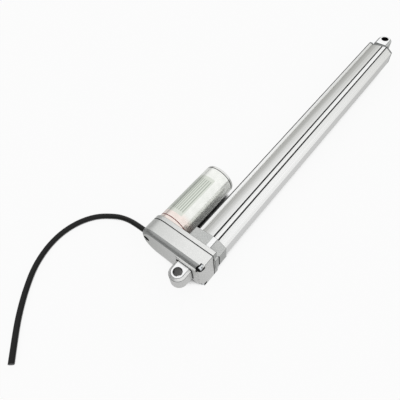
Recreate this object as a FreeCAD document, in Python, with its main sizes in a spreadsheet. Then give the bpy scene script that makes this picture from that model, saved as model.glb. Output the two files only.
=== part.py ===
import FreeCAD, Part
import math
import os
import re
import Sketcher

# Electric linear actuator, retracted, in millimetres.
# X runs from the rear clevis to the rod eye, Y towards the motor, Z up.
# The origin is the centre of the rear clevis bore, on the axis of screw and rod.

os.makedirs("parts", exist_ok=True)
doc = FreeCAD.newDocument("linear_actuator")
sheet = doc.addObject("Spreadsheet::Sheet", "Sizes")

# Driving sizes
sizes = {
    # whole actuator
    "stroke": 350.0,
    "front_reach": 27.0,
    # clevis and rod eye
    "pin_radius": 5.0,
    "ear_half_width": 9.5,
    "ear_half_height": 10.0,
    "ear_bevel": 2.5,
    "eye_block_length": 14.0,
    "eye_spigot_length": 14.0,
    # gear housing
    "rear_face": 10.5,
    "rear_wall": 3.0,
    "housing_wall": 3.9,
    "housing_round": 5.0,
    "gasket_thickness": 0.6,
    "gasket_inset": 0.3,
    "rim_depth": 5.0,
    "boss_rise": 1.2,
    "boss_margin_left": 0.5,
    "boss_margin_right": 6.7,
    "boss_margin_top": 5.3,
    "boss_margin_bottom": 3.5,
    "window_gap": 0.3,
    "flange_thickness": 3.5,
    "flange_gap": 1.1,
    # collar that holds the outer tube
    "seat_depth": 9.5,
    "seat_gap": 0.1,
    "collar_wall": 1.1,
    "collar_wall_ridge": 2.1,
    "collar_wall_left": 3.2,
    "collar_wall_lip": 0.4,
    "collar_ridge_right": 12.0,
    "collar_ridge_left": 7.0,
    "collar_slit_width": 1.0,
    "collar_slit_depth": 0.7,
    "collar_slit_setback": 12.2,
    # outer tube
    "bush_wall": 1.6,
    "tube_wall": 5.4,
    "tube_left_wall": 1.6,
    "tube_side_top": 9.8,
    "tube_side_bottom": 5.5,
    "stripe_right": 12.6,
    "stripe_left": 5.9,
    "groove_width": 0.8,
    "groove_depth": 1.3,
    "shoulder_step": 0.3,
    "flank_left": 7.8,
    "flank_drop": 2.7,
    "lip_drop": 1.6,
    "duct_wall": 2.6,
    "duct_depth": 5.4,
    "duct_roof": 2.2,
    "duct_floor": 1.5,
    "mouth_gap": 0.3,
    # front end
    "cap_thickness": 3.0,
    "cap_bore_step": 0.4,
    "wiper_rise": 0.8,
    "wiper_gap": 0.1,
    "bush_length": 16.0,
    "stop_gap": 4.0,
    "end_screw_head_radius": 1.5,
    "end_screw_head_height": 1.2,
    "end_screw_core_radius": 0.9,
    "end_screw_length": 9.0,
    "end_screw_inset_right": 7.6,
    "end_screw_rise": 0.8,
    "end_screw_inset_left": 2.1,
    "end_screw_drop": 5.5,
    # rod and nut
    "rod_clearance": 1.1,
    "rod_wall": 2.1,
    "nut_gap": 2.5,
    "nut_length": 17.0,
    "nut_spigot": 8.0,
    "running_fit": 0.05,
    "sliding_fit": 0.12,
    "key_half_height": 2.7,
    "key_depth": 2.7,
    "key_inset": 2.5,
    "key_gap": 0.4,
    # screw
    "screw_radius": 5.8,
    "journal_radius": 4.0,
    "journal_inset": 0.5,
    "screw_bevel": 0.8,
    "tip_gap": 1.0,
    "tip_guide_length": 3.0,
    "tip_guide_setback": 1.0,
    "clip_groove_depth": 0.4,
    "clip_rise": 1.8,
    "clip_gap": 0.1,
    "clip_thickness": 1.0,
    # bearings
    "bearing_inset": 0.4,
    "bearing_width": 7.0,
    "bearing_radius": 11.0,
    "bearing_lip_width": 1.6,
    "bearing_lip_thickness": 1.0,
    "rear_bush_wall": 3.0,
    "rear_bush_inset": 1.0,
    "rear_bush_setback": 0.5,
    # gears
    "gear_module": 1.0,
    "tooth_addendum": 0.9,
    "tooth_dedendum": 1.15,
    "pinion_teeth": 13.0,
    "idler_small_teeth": 13.0,
    "screw_gear_teeth": 28.0,
    "extra_idler_teeth": 1.0,
    "tooth_play": 0.14,
    "idler_gap": 0.8,
    "screw_gear_overhang": 0.2,
    "screw_gear_width": 5.5,
    "idler_step_gap": 0.7,
    "idler_large_width": 4.6,
    "pinion_overhang": 0.6,
    "pinion_gap": 0.1,
    "gear_pocket_gap": 1.2,
    "axle_radius": 2.0,
    "axle_wall": 1.5,
    "axle_depth": 2.9,
    # housing screws
    "screw_head_radius": 2.9,
    "screw_head_height": 3.0,
    "screw_sink_gap": 0.7,
    "screw_sink_depth": 7.0,
    "screw_shank_radius": 1.9,
    "screw_tip_wall": 1.5,
    "screw_hole_gap": 0.1,
    "corner_screw_inset_side": 3.0,
    "corner_screw_inset_top": 3.2,
    "far_screw_reach": 12.5,
    "far_screw_up": 2.0,
    # motor
    "can_radius": 18.3,
    "can_wall": 1.2,
    "can_front_wall": 2.0,
    "can_length": 81.5,
    "can_boss_wall": 2.5,
    "can_boss_length": 2.5,
    "motor_cap_length": 3.6,
    "cap_plug_length": 5.0,
    "cap_rim_bevel": 0.8,
    "shaft_radius": 1.6,
    "shaft_overhang": 0.8,
    "shaft_setback": 2.2,
    "motor_bush_wall": 1.9,
    "motor_bush_length": 5.0,
    "motor_screw_reach": 11.5,
    "motor_screw_radius": 1.5,
    "motor_screw_head_radius": 2.6,
    "motor_screw_head_height": 2.0,
    "core_gap": 14.9,
    "air_gap": 0.85,
    "slot_count": 5.0,
    "slot_width": 3.4,
    "slot_root_radius": 5.6,
    "winding_step": 1.0,
    "winding_length": 6.0,
    "commutator_radius": 5.0,
    "commutator_gap": 1.5,
    "commutator_setback": 14.1,
    "commutator_length": 8.0,
    "magnet_thickness": 4.6,
    "magnet_overhang": 4.0,
    "magnet_gap_half": 5.0,
    "brush_half_width": 2.0,
    "brush_length": 5.0,
    "brush_inset": 1.5,
    "card_thickness": 1.6,
    "card_hole_gap": 1.0,
    "label_gap_rim": 0.3,
    "label_gap_cap": 0.4,
    "label_thickness": 0.2,
    "band_inset": 3.8,
    "band_width": 0.9,
    "band_rise": 0.1,
    # limit switch strip
    "board_inset": 3.5,
    "board_setback": 8.0,
    "board_thickness": 1.6,
    "board_gap": 0.1,
    "switch_length": 12.8,
    "switch_height": 2.6,
    "switch_half_width": 3.0,
    # cable
    "cable_radius": 3.0,
    "cable_station": 19.0,
    "cable_drop": 6.5,
    "grommet_wall": 0.6,
    "grommet_depth": 11.0,
    "grommet_rise": 1.2,
    "grommet_gap": 0.05,
    "wire_hole_radius": 2.2,
}

# Sizes that follow from the driving ones
derived = {
    # stations along the housing, from the rear wall to the tube seat
    "inner_wall": "rear_face + rear_wall",
    "flange_end": "inner_wall + flange_thickness",
    "rear_bush_start": "rear_face + rear_bush_inset",
    "rear_bush_end": "flange_end - rear_bush_setback",
    "journal_start": "rear_bush_start + journal_inset",
    "axle_start": "rear_face + axle_wall",
    "idler_start": "flange_end + idler_gap",
    "screw_gear_start": "idler_start + screw_gear_overhang",
    "screw_gear_end": "screw_gear_start + screw_gear_width",
    "idler_step": "screw_gear_end + idler_step_gap",
    "idler_end": "idler_step + idler_large_width",
    "pinion_start": "idler_step - pinion_overhang",
    "pinion_end": "idler_end + pinion_overhang",
    "seam": "pinion_end + pinion_gap",
    "front_start": "seam + gasket_thickness",
    "rim_end": "front_start + rim_depth",
    "axle_end": "front_start + axle_depth",
    "screw_head_seat": "rear_face + screw_sink_depth",
    "screw_shank_end": "rim_end - screw_tip_wall",
    "bearing_start": "front_start + bearing_inset",
    "bearing_end": "bearing_start + bearing_width",
    "clip_start": "bearing_start - clip_gap - clip_thickness",
    "tube_seat": "bearing_end + bearing_lip_thickness",
    "collar_end": "tube_seat + seat_depth",
    "collar_slit_start": "collar_end - collar_slit_setback",
    # stations along the tube, from the nut to the rod eye
    "nut_start": "tube_seat + nut_gap",
    "key_start": "nut_start + key_inset",
    "key_length": "nut_length - 2 * key_inset",
    "switch_middle": "key_start + key_length / 2",
    "rod_start": "nut_start + nut_length",
    "tip_guide_start": "rod_start + nut_spigot + stroke + tip_gap",
    "screw_end": "tip_guide_start + tip_guide_length + tip_guide_setback",
    "tube_end": "rod_start + stroke + stop_gap + bush_length",
    "cap_end": "tube_end + cap_thickness",
    "closed_centres": "tube_end + front_reach",
    "eye_start": "closed_centres - eye_block_length",
    "board_start": "tube_seat + board_inset",
    "board_end": "tube_end - board_setback",
    # stations along the motor
    "can_boss_start": "rim_end - can_boss_length",
    "can_inner_front": "rim_end + can_front_wall",
    "can_end": "rim_end + can_length",
    "motor_end": "can_end + motor_cap_length",
    "shaft_start": "pinion_start - shaft_overhang",
    "shaft_end": "motor_end - shaft_setback",
    "core_start": "can_inner_front + core_gap",
    "card_seat": "can_end - cap_plug_length",
    "commutator_start": "card_seat - commutator_setback",
    "core_end": "commutator_start - commutator_gap - winding_length",
    "magnet_start": "core_start - magnet_overhang",
    "magnet_end": "core_end + magnet_overhang",
    "brush_start": "commutator_start + brush_inset",
    "label_start": "rim_end + label_gap_rim",
    "label_end": "can_end - label_gap_cap",
    "band_start": "label_start + band_inset",
    # the large idler wheel clears the screw's journal, then the axes of idler and motor
    "idler_large_teeth": "screw_gear_teeth + extra_idler_teeth",
    "idler_offset": "gear_module * (round(idler_small_teeth) + round(screw_gear_teeth)) / 2",
    "motor_offset": "idler_offset + gear_module * (round(pinion_teeth)"
                    " + round(idler_large_teeth)) / 2",
    # across the housing
    "housing_half": "idler_pocket_radius + housing_wall",
    "housing_end": "motor_offset + housing_half",
    "screw_pocket_radius": "gear_module * (screw_gear_teeth / 2 + tooth_addendum)"
                           " + gear_pocket_gap",
    "idler_pocket_radius": "gear_module * (idler_large_teeth / 2 + tooth_addendum)"
                           " + gear_pocket_gap",
    "pinion_pocket_radius": "gear_module * (pinion_teeth / 2 + tooth_addendum)"
                            " + gear_pocket_gap",
    "flange_radius": "screw_pocket_radius - flange_gap",
    "boss_left": "ear_half_width + boss_margin_left",
    "boss_right": "ear_half_width + boss_margin_right",
    "boss_top": "ear_half_height + boss_margin_top",
    "boss_bottom": "ear_half_height + boss_margin_bottom",
    "screw_sink_radius": "screw_head_radius + screw_sink_gap",
    "corner_screw_right": "housing_half - corner_screw_inset_side",
    "corner_screw_half": "housing_half - corner_screw_inset_top",
    "far_screw_across": "motor_offset + far_screw_reach",
    "grommet_radius": "cable_radius + grommet_wall",
    "grommet_start": "housing_end - grommet_depth",
    "grommet_end": "housing_end + grommet_rise",
    # across the screw, rod and tube
    "clip_radius": "journal_radius + clip_rise",
    "rear_bush_radius": "journal_radius + rear_bush_wall",
    "bearing_lip_radius": "bearing_radius - bearing_lip_width",
    "rod_bore_radius": "screw_radius + rod_clearance",
    "rod_radius": "rod_bore_radius + rod_wall",
    "tube_bore_radius": "rod_radius + bush_wall",
    "nut_radius": "tube_bore_radius - sliding_fit",
    "cap_bore_radius": "tube_bore_radius + cap_bore_step",
    "tube_half": "tube_bore_radius + tube_wall",
    "tube_left": "tube_bore_radius + tube_left_wall",
    "lip_height": "tube_half - lip_drop",
    "duct_left": "tube_bore_radius + duct_wall",
    "duct_right": "duct_left + duct_depth",
    "tube_right": "duct_right + duct_wall",
    "duct_top": "tube_side_top - duct_roof",
    "duct_bottom": "tube_side_bottom - duct_floor",
    "duct_mouth_half": "key_half_height + mouth_gap",
    "switch_seat": "duct_right - board_gap - board_thickness",
    "key_tip": "switch_seat - switch_height - key_gap",
    "end_screw_right": "tube_right - end_screw_inset_right",
    "end_screw_right_half": "tube_side_top + end_screw_rise",
    "end_screw_left": "tube_left - end_screw_inset_left",
    "end_screw_left_half": "lip_height - end_screw_drop",
    "collar_right": "tube_right + seat_gap + collar_wall",
    "collar_side_top": "tube_side_top + seat_gap + collar_wall",
    "collar_side_bottom": "tube_side_bottom + seat_gap + collar_wall",
    "collar_ridge": "tube_half + seat_gap + collar_wall_ridge",
    "collar_left": "tube_left + seat_gap + collar_wall_left",
    "collar_left_half": "lip_height + seat_gap + collar_wall_lip",
    # across the motor
    "can_bore": "can_radius - can_wall",
    "motor_bush_radius": "shaft_radius + motor_bush_wall",
    "can_boss_radius": "motor_bush_radius + can_boss_wall",
    "core_radius": "can_bore - running_fit - magnet_thickness - air_gap",
    "winding_radius": "core_radius - winding_step",
    "card_hole_radius": "commutator_radius + card_hole_gap",
}

for row, (name, size) in enumerate(sizes.items(), start=1):
    sheet.set("A%d" % row, name.replace("_", " "))
    sheet.set("B%d" % row, str(size))
    sheet.setAlias("B%d" % row, name)
doc.recompute()


# Formulas are written with the plain names above
def formula(text):
    def swap(found):
        word = found.group(0)
        if word in derived:
            return "(" + formula(derived[word]) + ")"
        if word in sizes:
            return "Sizes." + word
        return word
    return re.sub(r"[a-z]+(?:_[a-z]+)*", swap, str(text))


def number(text):
    return float(sheet.evalExpression(formula(text)))


def bind(thing, where, text):
    thing.setExpression(where, formula(text))


def settle(solid, start="0", across="0", up="0"):
    bind(solid, "Placement.Base.x", start)
    bind(solid, "Placement.Base.y", across)
    bind(solid, "Placement.Base.z", up)


# Sketches whose corners are tied to the sizes
def origin_plane(body, role):
    for feature in body.Origin.OriginFeatures:
        if feature.Role == role:
            return feature
    raise ValueError(role)


def closed_sketch(body, name, role, corners, offset="0"):
    sketch = body.newObject("Sketcher::SketchObject", name)
    sketch.AttachmentSupport = [(origin_plane(body, role), "")]
    sketch.MapMode = "FlatFace"
    bind(sketch, "AttachmentOffset.Base.z", offset)
    places = [(number(corner[0]), number(corner[1])) for corner in corners]
    ends = []
    for index, corner in enumerate(corners):
        here = places[index]
        there = places[(index + 1) % len(places)]
        ends.append(add_edge(sketch, here, there, corner))
    for index, corner in enumerate(corners):
        edge, first, last = ends[index]
        following, start, finish = ends[(index + 1) % len(ends)]
        sketch.addConstraint(Sketcher.Constraint("Coincident", edge, last, following, start))
        tie(sketch, "DistanceX", edge, first, places[index][0], corner[0])
        tie(sketch, "DistanceY", edge, first, places[index][1], corner[1])
        if len(corner) > 2:
            tie_centre(sketch, edge, places[index], places[(index + 1) % len(places)], corner)
    return sketch


# A corner is (u, v), or (u, v, centre u, centre v, turn) where an arc leaves it
def add_edge(sketch, here, there, corner):
    if len(corner) == 2:
        line = Part.LineSegment(FreeCAD.Vector(*here, 0), FreeCAD.Vector(*there, 0))
        return sketch.addGeometry(line, False), 1, 2
    middle = (number(corner[2]), number(corner[3]))
    radius = math.dist(here, middle)
    begin = math.atan2(here[1] - middle[1], here[0] - middle[0])
    finish = math.atan2(there[1] - middle[1], there[0] - middle[0])
    circle = Part.Circle(FreeCAD.Vector(*middle, 0), FreeCAD.Vector(0, 0, 1), radius)
    if corner[4] == "left":
        if finish < begin:
            finish += 2 * math.pi
        return sketch.addGeometry(Part.ArcOfCircle(circle, begin, finish), False), 1, 2
    if begin < finish:
        begin += 2 * math.pi
    return sketch.addGeometry(Part.ArcOfCircle(circle, finish, begin), False), 2, 1


def tie(sketch, kind, edge, point, value, text):
    index = sketch.addConstraint(Sketcher.Constraint(kind, -1, 1, edge, point, value))
    sketch.setExpression("Constraints[%d]" % index, formula(text))


def tie_centre(sketch, edge, here, there, corner):
    if abs(there[0] - here[0]) > abs(there[1] - here[1]):
        tie(sketch, "DistanceY", edge, 3, number(corner[3]), corner[3])
    else:
        tie(sketch, "DistanceX", edge, 3, number(corner[2]), corner[2])


# A piece turned about an axis along X: corners are (station, radius)
def turned(label, corners, across="0"):
    body = doc.addObject("PartDesign::Body", label)
    sketch = closed_sketch(body, label + "_outline", "XZ_Plane", corners)
    turn = body.newObject("PartDesign::Revolution", label + "_turn")
    turn.Profile = sketch
    turn.ReferenceAxis = (sketch, ["H_Axis"])
    turn.Angle = 360
    bind(body, "Placement.Base.y", across)
    body.Tip = turn
    return body


def ring(label, start, end, outer, inner, across="0"):
    corners = [(start, inner), (start, outer), (end, outer), (end, inner)]
    return turned(label, corners, across)


# A piece of constant section along X: corners are (across, up)
def extruded(label, corners, start, length):
    body = doc.addObject("PartDesign::Body", label)
    sketch = closed_sketch(body, label + "_section", "YZ_Plane", corners, start)
    pad = body.newObject("PartDesign::Pad", label + "_pad")
    pad.Profile = sketch
    bind(pad, "Length", length)
    body.Tip = pad
    doc.recompute()
    return body


def bar(label, start, end, radius, across="0", up="0"):
    solid = doc.addObject("Part::Cylinder", label)
    solid.Placement = FreeCAD.Placement(
        FreeCAD.Vector(), FreeCAD.Rotation(FreeCAD.Vector(0, 1, 0), 90))
    bind(solid, "Radius", radius)
    bind(solid, "Height", "%s - (%s)" % (end, start))
    settle(solid, start, across, up)
    return solid


def block(label, start, end, right, left, bottom, top):
    solid = doc.addObject("Part::Box", label)
    bind(solid, "Length", "%s - (%s)" % (end, start))
    bind(solid, "Width", "%s - (%s)" % (left, right))
    bind(solid, "Height", "%s - (%s)" % (top, bottom))
    settle(solid, start, right, bottom)
    return solid


def joined(label, pieces):
    solid = doc.addObject("Part::MultiFuse", label)
    solid.Shapes = pieces
    return solid


def carved(label, base, tools):
    solid = doc.addObject("Part::Cut", label)
    solid.Base = base
    if len(tools) == 1:
        solid.Tool = tools[0]
    else:
        solid.Tool = joined(label + "_cutters", tools)
    return solid


# The housing outline: square on the screw side, round about the motor axis
def housing_outline(inset):
    reach = "housing_half - (%s)" % inset
    return [
        ("-(%s)" % reach, "-(%s)" % reach),
        ("motor_offset", "-(%s)" % reach, "motor_offset", "0", "left"),
        ("motor_offset", reach),
        ("-(%s)" % reach, reach),
    ]


# The tube outline: a round flank and lip towards the motor, a raised stripe
# between two grooves, and a sloping shoulder on the far side
def tube_outline(gap, grooves):
    top = "tube_half + (%s)" % gap
    shoulder = "tube_half - shoulder_step + (%s)" % gap
    bulge = "((flank_left + stripe_left) ^ 2 + flank_drop ^ 2) / (2 * flank_drop)"
    outline = [
        ("-tube_right - (%s)" % gap, "-tube_side_bottom - (%s)" % gap),
        ("-tube_right - (%s)" % gap, "tube_side_top + (%s)" % gap),
    ]
    if grooves:
        outline += groove_corners("-stripe_right", "-stripe_right + groove_width", shoulder, top)
        outline += groove_corners("-stripe_left - groove_width", "-stripe_left", top)
    else:
        outline += [("-stripe_right", top), ("-stripe_left - groove_width", top)]
    outline += [
        ("-stripe_left", shoulder, "-stripe_left", "%s - %s" % (shoulder, bulge), "right"),
        ("flank_left", "%s - flank_drop" % shoulder),
        ("flank_left + shoulder_step", "lip_height + (%s)" % gap),
        ("tube_left + (%s)" % gap, "lip_height + (%s)" % gap),
        ("tube_left + (%s)" % gap, "-lip_height - (%s)" % gap),
        ("flank_left", "-(%s)" % top),
        ("-stripe_right", "-(%s)" % top),
    ]
    return outline


def groove_corners(right, left, before, after=None):
    floor = "tube_half - groove_depth"
    corners = [(right, before), (right, floor), (left, floor)]
    if after:
        corners.append((left, after))
    return corners


def collar_outline():
    return [
        ("-collar_right", "-collar_side_bottom"),
        ("-collar_right", "collar_side_top"),
        ("-collar_ridge_right", "collar_ridge"),
        ("-collar_ridge_left", "collar_ridge"),
        ("collar_left", "collar_left_half"),
        ("collar_left", "-collar_left_half"),
        ("collar_ridge_left", "-collar_ridge"),
        ("-collar_ridge_right", "-collar_ridge"),
    ]


# Places of the three housing screws as (across, up)
screw_places = [
    ("-corner_screw_right", "corner_screw_half"),
    ("-corner_screw_right", "-corner_screw_half"),
    ("far_screw_across", "far_screw_up"),
]


def screw_bars(label, start, end, radius):
    return [bar("%s_%d" % (label, index), start, end, radius, across, up)
            for index, (across, up) in enumerate(screw_places)]


# Rear half of the gear housing
def rear_housing():
    shell = extruded("rear_shell", housing_outline("0"), "rear_face", "seam - rear_face")
    pad = shell.Tip
    rim = []
    for index, edge in enumerate(pad.Shape.Edges, start=1):
        box = edge.BoundBox
        if abs(box.XMax - number("rear_face")) < 0.001:
            rim.append("Edge%d" % index)
    fillet = shell.newObject("PartDesign::Fillet", "rear_round")
    fillet.Base = (pad, rim)
    bind(fillet, "Radius", "housing_round")
    shell.Tip = fillet
    boss = block("rear_boss", "rear_face - boss_rise", "inner_wall",
                 "-boss_right", "boss_left", "-boss_bottom", "boss_top")
    cutters = [
        bar("screw_pocket", "inner_wall", "seam + rim_depth", "screw_pocket_radius"),
        bar("idler_pocket", "inner_wall", "seam + rim_depth", "idler_pocket_radius",
            "idler_offset"),
        bar("pinion_pocket", "inner_wall", "seam + rim_depth", "pinion_pocket_radius",
            "motor_offset"),
        block("clevis_window", "0", "seam",
              "-ear_half_width - window_gap", "ear_half_width + window_gap",
              "-ear_half_height - window_gap", "ear_half_height + window_gap"),
        bar("axle_seat", "axle_start", "seam", "axle_radius + running_fit", "idler_offset"),
        cable_bar("cable_hole", "grommet_start", "housing_end + grommet_rise",
                  "grommet_radius + grommet_gap"),
        cable_bar("wire_hole", "motor_offset", "housing_end", "wire_hole_radius"),
    ]
    cutters += screw_bars("screw_sink", "0", "screw_head_seat", "screw_sink_radius")
    cutters += screw_bars("screw_hole", "0", "seam + rim_depth",
                          "screw_shank_radius + screw_hole_gap")
    return carved("rear_housing", joined("rear_mass", [shell, boss]), cutters)


def cable_bar(label, start, end, radius):
    solid = doc.addObject("Part::Cylinder", label)
    solid.Placement = FreeCAD.Placement(
        FreeCAD.Vector(), FreeCAD.Rotation(FreeCAD.Vector(1, 0, 0), -90))
    bind(solid, "Radius", radius)
    bind(solid, "Height", "%s - (%s)" % (end, start))
    settle(solid, "cable_station", start, "-cable_drop")
    return solid


# The gasket shows as the dark line between the housing halves
def housing_gasket():
    sheet_piece = extruded("gasket_sheet", housing_outline("gasket_inset"), "seam",
                           "gasket_thickness")
    cutters = [
        bar("gasket_screw_opening", "rear_face", "rim_end", "screw_pocket_radius"),
        bar("gasket_idler_opening", "rear_face", "rim_end", "idler_pocket_radius",
            "idler_offset"),
        bar("gasket_pinion_opening", "rear_face", "rim_end", "pinion_pocket_radius",
            "motor_offset"),
    ]
    cutters += screw_bars("gasket_hole", "rear_face", "rim_end",
                          "screw_shank_radius + screw_hole_gap")
    return carved("housing_gasket", sheet_piece, cutters)


# Front half of the gear housing with the collar that holds the tube
def front_housing():
    rim = extruded("front_rim", housing_outline("0"), "front_start", "rim_depth")
    collar = extruded("front_collar", collar_outline(), "front_start",
                      "collar_end - (front_start)")
    slit = block("collar_slit", "collar_slit_start", "collar_slit_start + collar_slit_width",
                 "-collar_right - collar_slit_depth", "-collar_right + collar_slit_depth",
                 "-collar_side_bottom", "collar_side_top")
    cutters = [
        slit,
        extruded("tube_pocket", tube_outline("seat_gap", False), "tube_seat",
                 "collar_end - tube_seat + rim_depth"),
        bar("bearing_seat", "rear_face", "bearing_end", "bearing_radius + running_fit"),
        bar("bearing_lip", "rear_face", "tube_seat + rim_depth", "bearing_lip_radius"),
        bar("shaft_hole", "rear_face", "rim_end", "motor_bush_radius", "motor_offset"),
        bar("boss_seat", "can_boss_start", "rim_end + rim_depth",
            "can_boss_radius + running_fit", "motor_offset"),
        bar("front_axle_seat", "rear_face", "axle_end", "axle_radius + running_fit",
            "idler_offset"),
    ]
    cutters += screw_bars("front_screw_hole", "rear_face", "screw_shank_end",
                          "screw_shank_radius + screw_hole_gap")
    cutters += motor_screw_bars("motor_screw_sink", "front_start",
                                "front_start + motor_screw_head_height",
                                "motor_screw_head_radius + screw_hole_gap")
    cutters += motor_screw_bars("motor_screw_hole", "front_start", "rim_end",
                                "motor_screw_radius + screw_hole_gap")
    return carved("front_housing", joined("front_mass", [rim, collar]), cutters)


# A bevelled ear with a round nose about the pin axis at its own origin
def ear(label, root):
    body = doc.addObject("PartDesign::Body", label)
    corners = [
        (root, "-ear_half_width"),
        (root, "ear_half_width"),
        ("0", "ear_half_width", "0", "0", "left"),
        ("0", "-ear_half_width"),
    ]
    sketch = closed_sketch(body, label + "_outline", "XY_Plane", corners, "-ear_half_height")
    pad = body.newObject("PartDesign::Pad", label + "_pad")
    pad.Profile = sketch
    bind(pad, "Length", "2 * ear_half_height")
    body.Tip = pad
    doc.recompute()
    bevelled = []
    for index, edge in enumerate(pad.Shape.Edges, start=1):
        box = edge.BoundBox
        flat = abs(box.ZMax - box.ZMin) < 0.001
        if flat and box.XMin < number(root) - 0.001:
            bevelled.append("Edge%d" % index)
    chamfer = body.newObject("PartDesign::Chamfer", label + "_bevel")
    chamfer.Base = (pad, bevelled)
    bind(chamfer, "Size", "ear_bevel")
    body.Tip = chamfer
    return body


def pin_hole(label, station):
    hole = doc.addObject("Part::Cylinder", label)
    bind(hole, "Radius", "pin_radius")
    bind(hole, "Height", "4 * ear_half_height")
    settle(hole, station, "0", "-2 * ear_half_height")
    return hole


# Rear clevis: the ear passes through a window and is held by its flange
def rear_clevis():
    nose = ear("clevis_ear", "inner_wall + window_gap")
    flange = bar("clevis_flange", "inner_wall", "inner_wall + flange_thickness", "flange_radius")
    cutters = [
        pin_hole("clevis_hole", "0"),
        bar("rear_bush_seat", "rear_bush_start", "seam", "rear_bush_radius + running_fit"),
    ]
    return carved("rear_clevis", joined("clevis_mass", [nose, flange]), cutters)


# Housing screws share one node
def housing_screws():
    shanks = screw_bars("screw_shank", "screw_head_seat", "screw_shank_end",
                        "screw_shank_radius")
    heads = screw_bars("screw_head", "screw_head_seat - screw_head_height", "screw_head_seat",
                       "screw_head_radius")
    return joined("housing_screws", shanks + heads)


# Outer tube with its bore, the switch duct and the mouth between them
def outer_tube():
    length = "tube_end - tube_seat"
    profile = extruded("tube_profile", tube_outline("0", True), "tube_seat", length)
    cutters = [
        bar("tube_bore", "rear_face", "closed_centres", "tube_bore_radius"),
        block("duct", "rear_face", "closed_centres", "-duct_right", "-duct_left",
              "-duct_bottom", "duct_top"),
        block("duct_mouth", "rear_face", "closed_centres", "-duct_left - duct_mouth_half", "0",
              "-duct_mouth_half", "duct_mouth_half"),
    ]
    for index, (across, up) in enumerate(end_screw_places):
        cutters.append(bar("end_thread_%d" % index, "tube_end - end_screw_length",
                           "closed_centres", "end_screw_core_radius + running_fit", across, up))
    return carved("outer_tube", profile, cutters)


# Places of the end cap screws as (across, up)
end_screw_places = [
    ("-end_screw_right", "end_screw_right_half"),
    ("-end_screw_right", "-end_screw_right_half"),
    ("end_screw_left", "end_screw_left_half"),
    ("end_screw_left", "-end_screw_left_half"),
]


def tube_end_cap():
    plate = extruded("cap_plate", tube_outline("0", False), "tube_end", "cap_thickness")
    cutters = [bar("cap_bore", "tube_end - cap_thickness", "closed_centres", "cap_bore_radius")]
    for index, (across, up) in enumerate(end_screw_places):
        cutters.append(bar("cap_screw_hole_%d" % index, "tube_end - cap_thickness",
                           "closed_centres", "end_screw_core_radius + running_fit", across, up))
    return carved("tube_end_cap", plate, cutters)


def end_cap_screws():
    pieces = []
    for index, (across, up) in enumerate(end_screw_places):
        pieces.append(bar("end_core_%d" % index, "cap_end - end_screw_length", "cap_end",
                          "end_screw_core_radius", across, up))
        pieces.append(bar("end_head_%d" % index, "cap_end", "cap_end + end_screw_head_height",
                          "end_screw_head_radius", across, up))
    return joined("end_cap_screws", pieces)


# Wiper seal and guide bush run on the rod
def rod_wiper():
    lip = "rod_radius + wiper_gap"
    corners = [
        ("tube_end", lip),
        ("tube_end", "cap_bore_radius - running_fit"),
        ("cap_end + wiper_rise / 2", "cap_bore_radius - running_fit"),
        ("cap_end + wiper_rise", lip),
    ]
    return turned("rod_wiper", corners)


def guide_bush():
    return ring("guide_bush", "tube_end - bush_length", "tube_end",
                "tube_bore_radius - running_fit", "rod_radius + running_fit")


# Rod group
def inner_rod():
    return ring("inner_rod", "rod_start", "eye_start", "rod_radius", "rod_bore_radius")


def rod_eye():
    nose = ear("eye_ear", "eye_block_length")
    nose.Placement = FreeCAD.Placement(
        FreeCAD.Vector(), FreeCAD.Rotation(FreeCAD.Vector(0, 0, 1), 180))
    settle(nose, "closed_centres")
    spigot = bar("eye_spigot", "eye_start - eye_spigot_length", "closed_centres - pin_radius",
                 "rod_bore_radius - running_fit")
    return carved("rod_eye", joined("eye_mass", [nose, spigot]),
                  [pin_hole("eye_hole", "closed_centres")])


def lead_nut():
    corners = [
        ("nut_start", "screw_radius + running_fit"),
        ("nut_start", "nut_radius - screw_bevel"),
        ("nut_start + screw_bevel", "nut_radius"),
        ("rod_start", "nut_radius"),
        ("rod_start", "rod_bore_radius - running_fit"),
        ("rod_start + nut_spigot", "rod_bore_radius - running_fit"),
        ("rod_start + nut_spigot", "screw_radius + running_fit"),
    ]
    key_seat = block("key_seat", "key_start", "key_start + key_length", "-tube_bore_radius",
                     "-tube_bore_radius + key_depth", "-key_half_height", "key_half_height")
    return carved("lead_nut", turned("nut_body", corners), [key_seat])


# The key stops the nut turning and trips the limit switches
def nut_key():
    return block("nut_key", "key_start", "key_start + key_length", "-key_tip",
                 "-tube_bore_radius + key_depth", "-key_half_height", "key_half_height")


# Screw group
def lead_screw():
    groove = "journal_radius - clip_groove_depth"
    corners = [
        ("journal_start", "0"),
        ("journal_start", "journal_radius"),
        ("clip_start", "journal_radius"),
        ("clip_start", groove),
        ("clip_start + clip_thickness", groove),
        ("clip_start + clip_thickness", "journal_radius"),
        ("bearing_end", "journal_radius"),
        ("bearing_end", "screw_radius"),
        ("screw_end - screw_bevel", "screw_radius"),
        ("screw_end", "screw_radius - screw_bevel"),
        ("screw_end", "0"),
    ]
    return turned("lead_screw", corners)


def screw_tip_guide():
    return ring("screw_tip_guide", "tip_guide_start", "tip_guide_start + tip_guide_length",
                "rod_bore_radius - sliding_fit", "screw_radius + running_fit")


def screw_clip():
    return ring("screw_clip", "clip_start", "clip_start + clip_thickness", "clip_radius",
                "journal_radius - clip_groove_depth + running_fit")


def main_bearing():
    return ring("main_bearing", "bearing_start", "bearing_end", "bearing_radius",
                "journal_radius + running_fit")


def rear_bush():
    return ring("rear_bush", "rear_bush_start", "rear_bush_end", "rear_bush_radius",
                "journal_radius + running_fit")


def gear_axle():
    return bar("gear_axle", "axle_start", "axle_end", "axle_radius", "idler_offset")


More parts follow.
